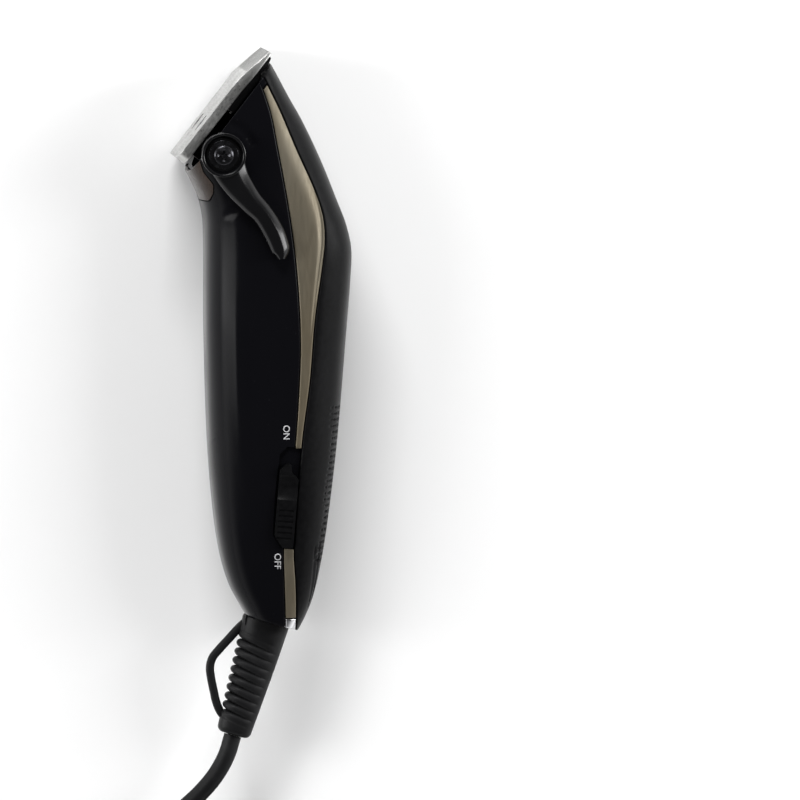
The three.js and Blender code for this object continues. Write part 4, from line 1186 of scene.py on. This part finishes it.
def plug_pin(number, y):
    """A flat contact with a rounded tip and a hole."""
    face, half = PLUG_FACE, CONTACT_HALF
    outline = [(face - 11.7, -half), (face + 14, -half), (face + 16.4, -1.9), (face + 17, 0),
               (face + 16.4, 1.9), (face + 14, half), (face - 11.7, half)]
    place = lambda x, z, h: on_plug(x, y + h, z)
    pin = prism(f"plug_contact_{number}", outline, -0.75, 0.75, place)
    hole = lathe("hole", [(1.5, -2), (1.5, 2)], lambda a, b, h: place(face + 12.4 + a, b, h), 32)
    return bevelled(boolean(pin, hole), 0.15, 2)


def cord_tie():
    """A strap once round the coil's turns, with its ends meeting."""
    half_wide = 1.5 * TURN_PITCH + 0.35
    low, top = FLOOR + 0.5, FLOOR + 20.42
    outward = np.array([math.cos(TIE_PLACE), math.sin(TIE_PLACE), 0])
    across = np.array([-outward[1], outward[0], 0])
    centre = np.array([*COIL_CENTRE, 0.0]) + outward * COIL_MID
    corners = [(-half_wide, low), (half_wide, low), (half_wide, top), (-half_wide, top)]
    path = np.array(rounded_loop(corners, 3.2, 6))
    path = np.vstack([path, path[0]])
    strap = [(-TIE_THICK_HALF, -TIE_HALF), (TIE_THICK_HALF, -TIE_HALF), (TIE_THICK_HALF, TIE_HALF),
             (-TIE_THICK_HALF, TIE_HALF)]
    rings = [[tuple(centre + outward * (r + dz * a) + across * b + np.array([0, 0, z - dr * a]))
              for a, b in strap] for (r, z), (dr, dz) in zip(path, directions(path))]
    return loft("cord_strap", rings, 50)


# ---------------------------------------------------------------- studio
FLOOR_HALF = 3.0
FLOOR_DROP = 0.0002  # keeps the floor just clear of the part
LIGHTS_AIM = (0, 0, 0.02)
SKY_HEIGHTS = (0.1, 0.62)  # of the view direction, between which the surroundings darken
SKY_STRENGTHS = (1.5, 0.1)


def make_floor():
    """A flat pale floor under the part, with a faint paper grain."""
    corners = [(-FLOOR_HALF, -FLOOR_HALF, 0), (FLOOR_HALF, -FLOOR_HALF, 0), (FLOOR_HALF, FLOOR_HALF, 0),
               (-FLOOR_HALF, FLOOR_HALF, 0)]
    floor = new_object("floor", corners, [(0, 1, 2, 3)])
    m = Nodes("pale_paper", (0.93, 0.93, 0.93), 0.8)
    m.look("Base Color", m.mixed(m.noise(40, 3), (0.92, 0.92, 0.92), (0.94, 0.94, 0.94)))
    m.bump(m.noise(900, 3), 0.03, 0.0001)
    floor.data.materials.append(m.material)
    floor.location.z = -FLOOR_DROP


def area_light(name, place, size, power):
    data = bpy.data.lights.new(name, "AREA")
    data.shape = "RECTANGLE"
    data.size, data.size_y = size
    data.energy = power
    light = bpy.data.objects.new(name, data)
    light.location = place
    light.rotation_euler = (Vector(LIGHTS_AIM) - Vector(place)).to_track_quat("-Z", "Y").to_euler()
    scene.collection.objects.link(light)


def make_world():
    """White surroundings that darken overhead, as inside a light tent with its top open."""
    world = bpy.data.worlds.new("studio")
    world.use_nodes = True
    scene.world = world
    tree = world.node_tree
    background = tree.nodes["Background"]
    place = tree.nodes.new("ShaderNodeTexCoord")
    split = tree.nodes.new("ShaderNodeSeparateXYZ")
    ramp = tree.nodes.new("ShaderNodeMapRange")
    ramp.interpolation_type = "SMOOTHSTEP"
    for socket, number in zip(("From Min", "From Max", "To Min", "To Max"), SKY_HEIGHTS + SKY_STRENGTHS):
        ramp.inputs[socket].default_value = number
    tree.links.new(place.outputs["Generated"], split.inputs["Vector"])
    tree.links.new(split.outputs["Z"], ramp.inputs["Value"])
    tree.links.new(ramp.outputs["Result"], background.inputs["Strength"])
    background.inputs["Color"].default_value = (1, 1, 1, 1)


make_floor()
make_world()
scene.view_settings.view_transform = "Standard"
area_light("left_softbox", (-1.5, 0.15, 0.75), (0.5, 1.6), 17)
area_light("right_softbox", (1.5, 0.3, 0.8), (0.5, 1.6), 24)
area_light("head_strip", (-0.35, 1.5, 1.3), (0.9, 0.35), 26)


# ---------------------------------------------------------------- putting it together
def make_housing():
    shell, cover = front_shell(), rear_cover()
    open_housing(shell, cover)
    printed_word("ON", 3.2, -8.0, shell)
    printed_word("OFF", 0.9, -44.9, shell)
    dress(together("housing_front", [shell, tail_plate()]), "housing", "gloss_housing", "front_shell")
    dress(cover, "housing", "satin_housing", "rear_cover")
    dress(throat_bezel(), "housing", "bronze_metal", "throat_bezel")


UPPER_TRIM_LOW, LOWER_TRIM_HIGH = -12.6, -38  # the lever side's trims end here, either side of the switch
POCKET_CUT = 9


def make_trims():
    upper = trim("trim_left", 1, height(UPPER_TRIM_LOW, -1), head_plane(TRIM_TOP), 150)
    boolean(upper, pocket_tool(GAP, POCKET_CUT))
    lower = trim("trim_left_lower", 1, height(CLIP_TOP, -1), height(LOWER_TRIM_HIGH), 44)
    boolean(lower, pocket_tool(GAP, POCKET_CUT))
    right = trim("trim_right", -1, height(CLIP_TOP, -1), head_plane(TRIM_TOP), 240)
    for piece, node in ((upper, "left_trim"), (lower, "left_lower_trim"), (right, "right_trim")):
        dress(piece, "housing", "champagne_trim", node)
    for side, node in ((1, "left_tail_clip"), (-1, "right_tail_clip")):
        clip = trim(f"{node}_plate", side, tail_plane, height(CLIP_TOP - GAP), 12)
        dress(clip, "housing", "bright_metal", node)


def make_cord_fittings():
    dress(strain_relief(), "housing", "cord_rubber", "strain_relief")
    plug = dress(plug_body(), "housing", "cord_rubber", "plug_body")
    pins = [dress(plug_pin(number, side * BLADE_SPACING / 2), "housing", "plug_brass", f"plug_blade_{number}")
            for number, side in ((1, 1), (2, -1))]
    tie = dress(cord_tie(), "housing", "cord_rubber")
    return [plug, *pins, tie]


INNER_EDGE = 0.00012


def soften_inner_parts():
    """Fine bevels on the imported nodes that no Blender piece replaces."""
    for node in frame["nodes"].values():
        if node.hide_render:
            continue
        weld = node.modifiers.new("weld", "WELD")
        weld.merge_threshold = SHORTEST_EDGE
        edges = node.modifiers.new("edges", "BEVEL")
        edges.width = INNER_EDGE
        edges.segments = 2
        edges.limit_method = "ANGLE"


make_housing()
make_trims()
blade_set()
lever_set()
dress(switch_knob(), "switch_slider", "satin_housing", "switch_knob")
cord.data.materials.append(MATERIALS["cord_rubber"])
cord_pieces = make_cord_fittings()
soften_inner_parts()
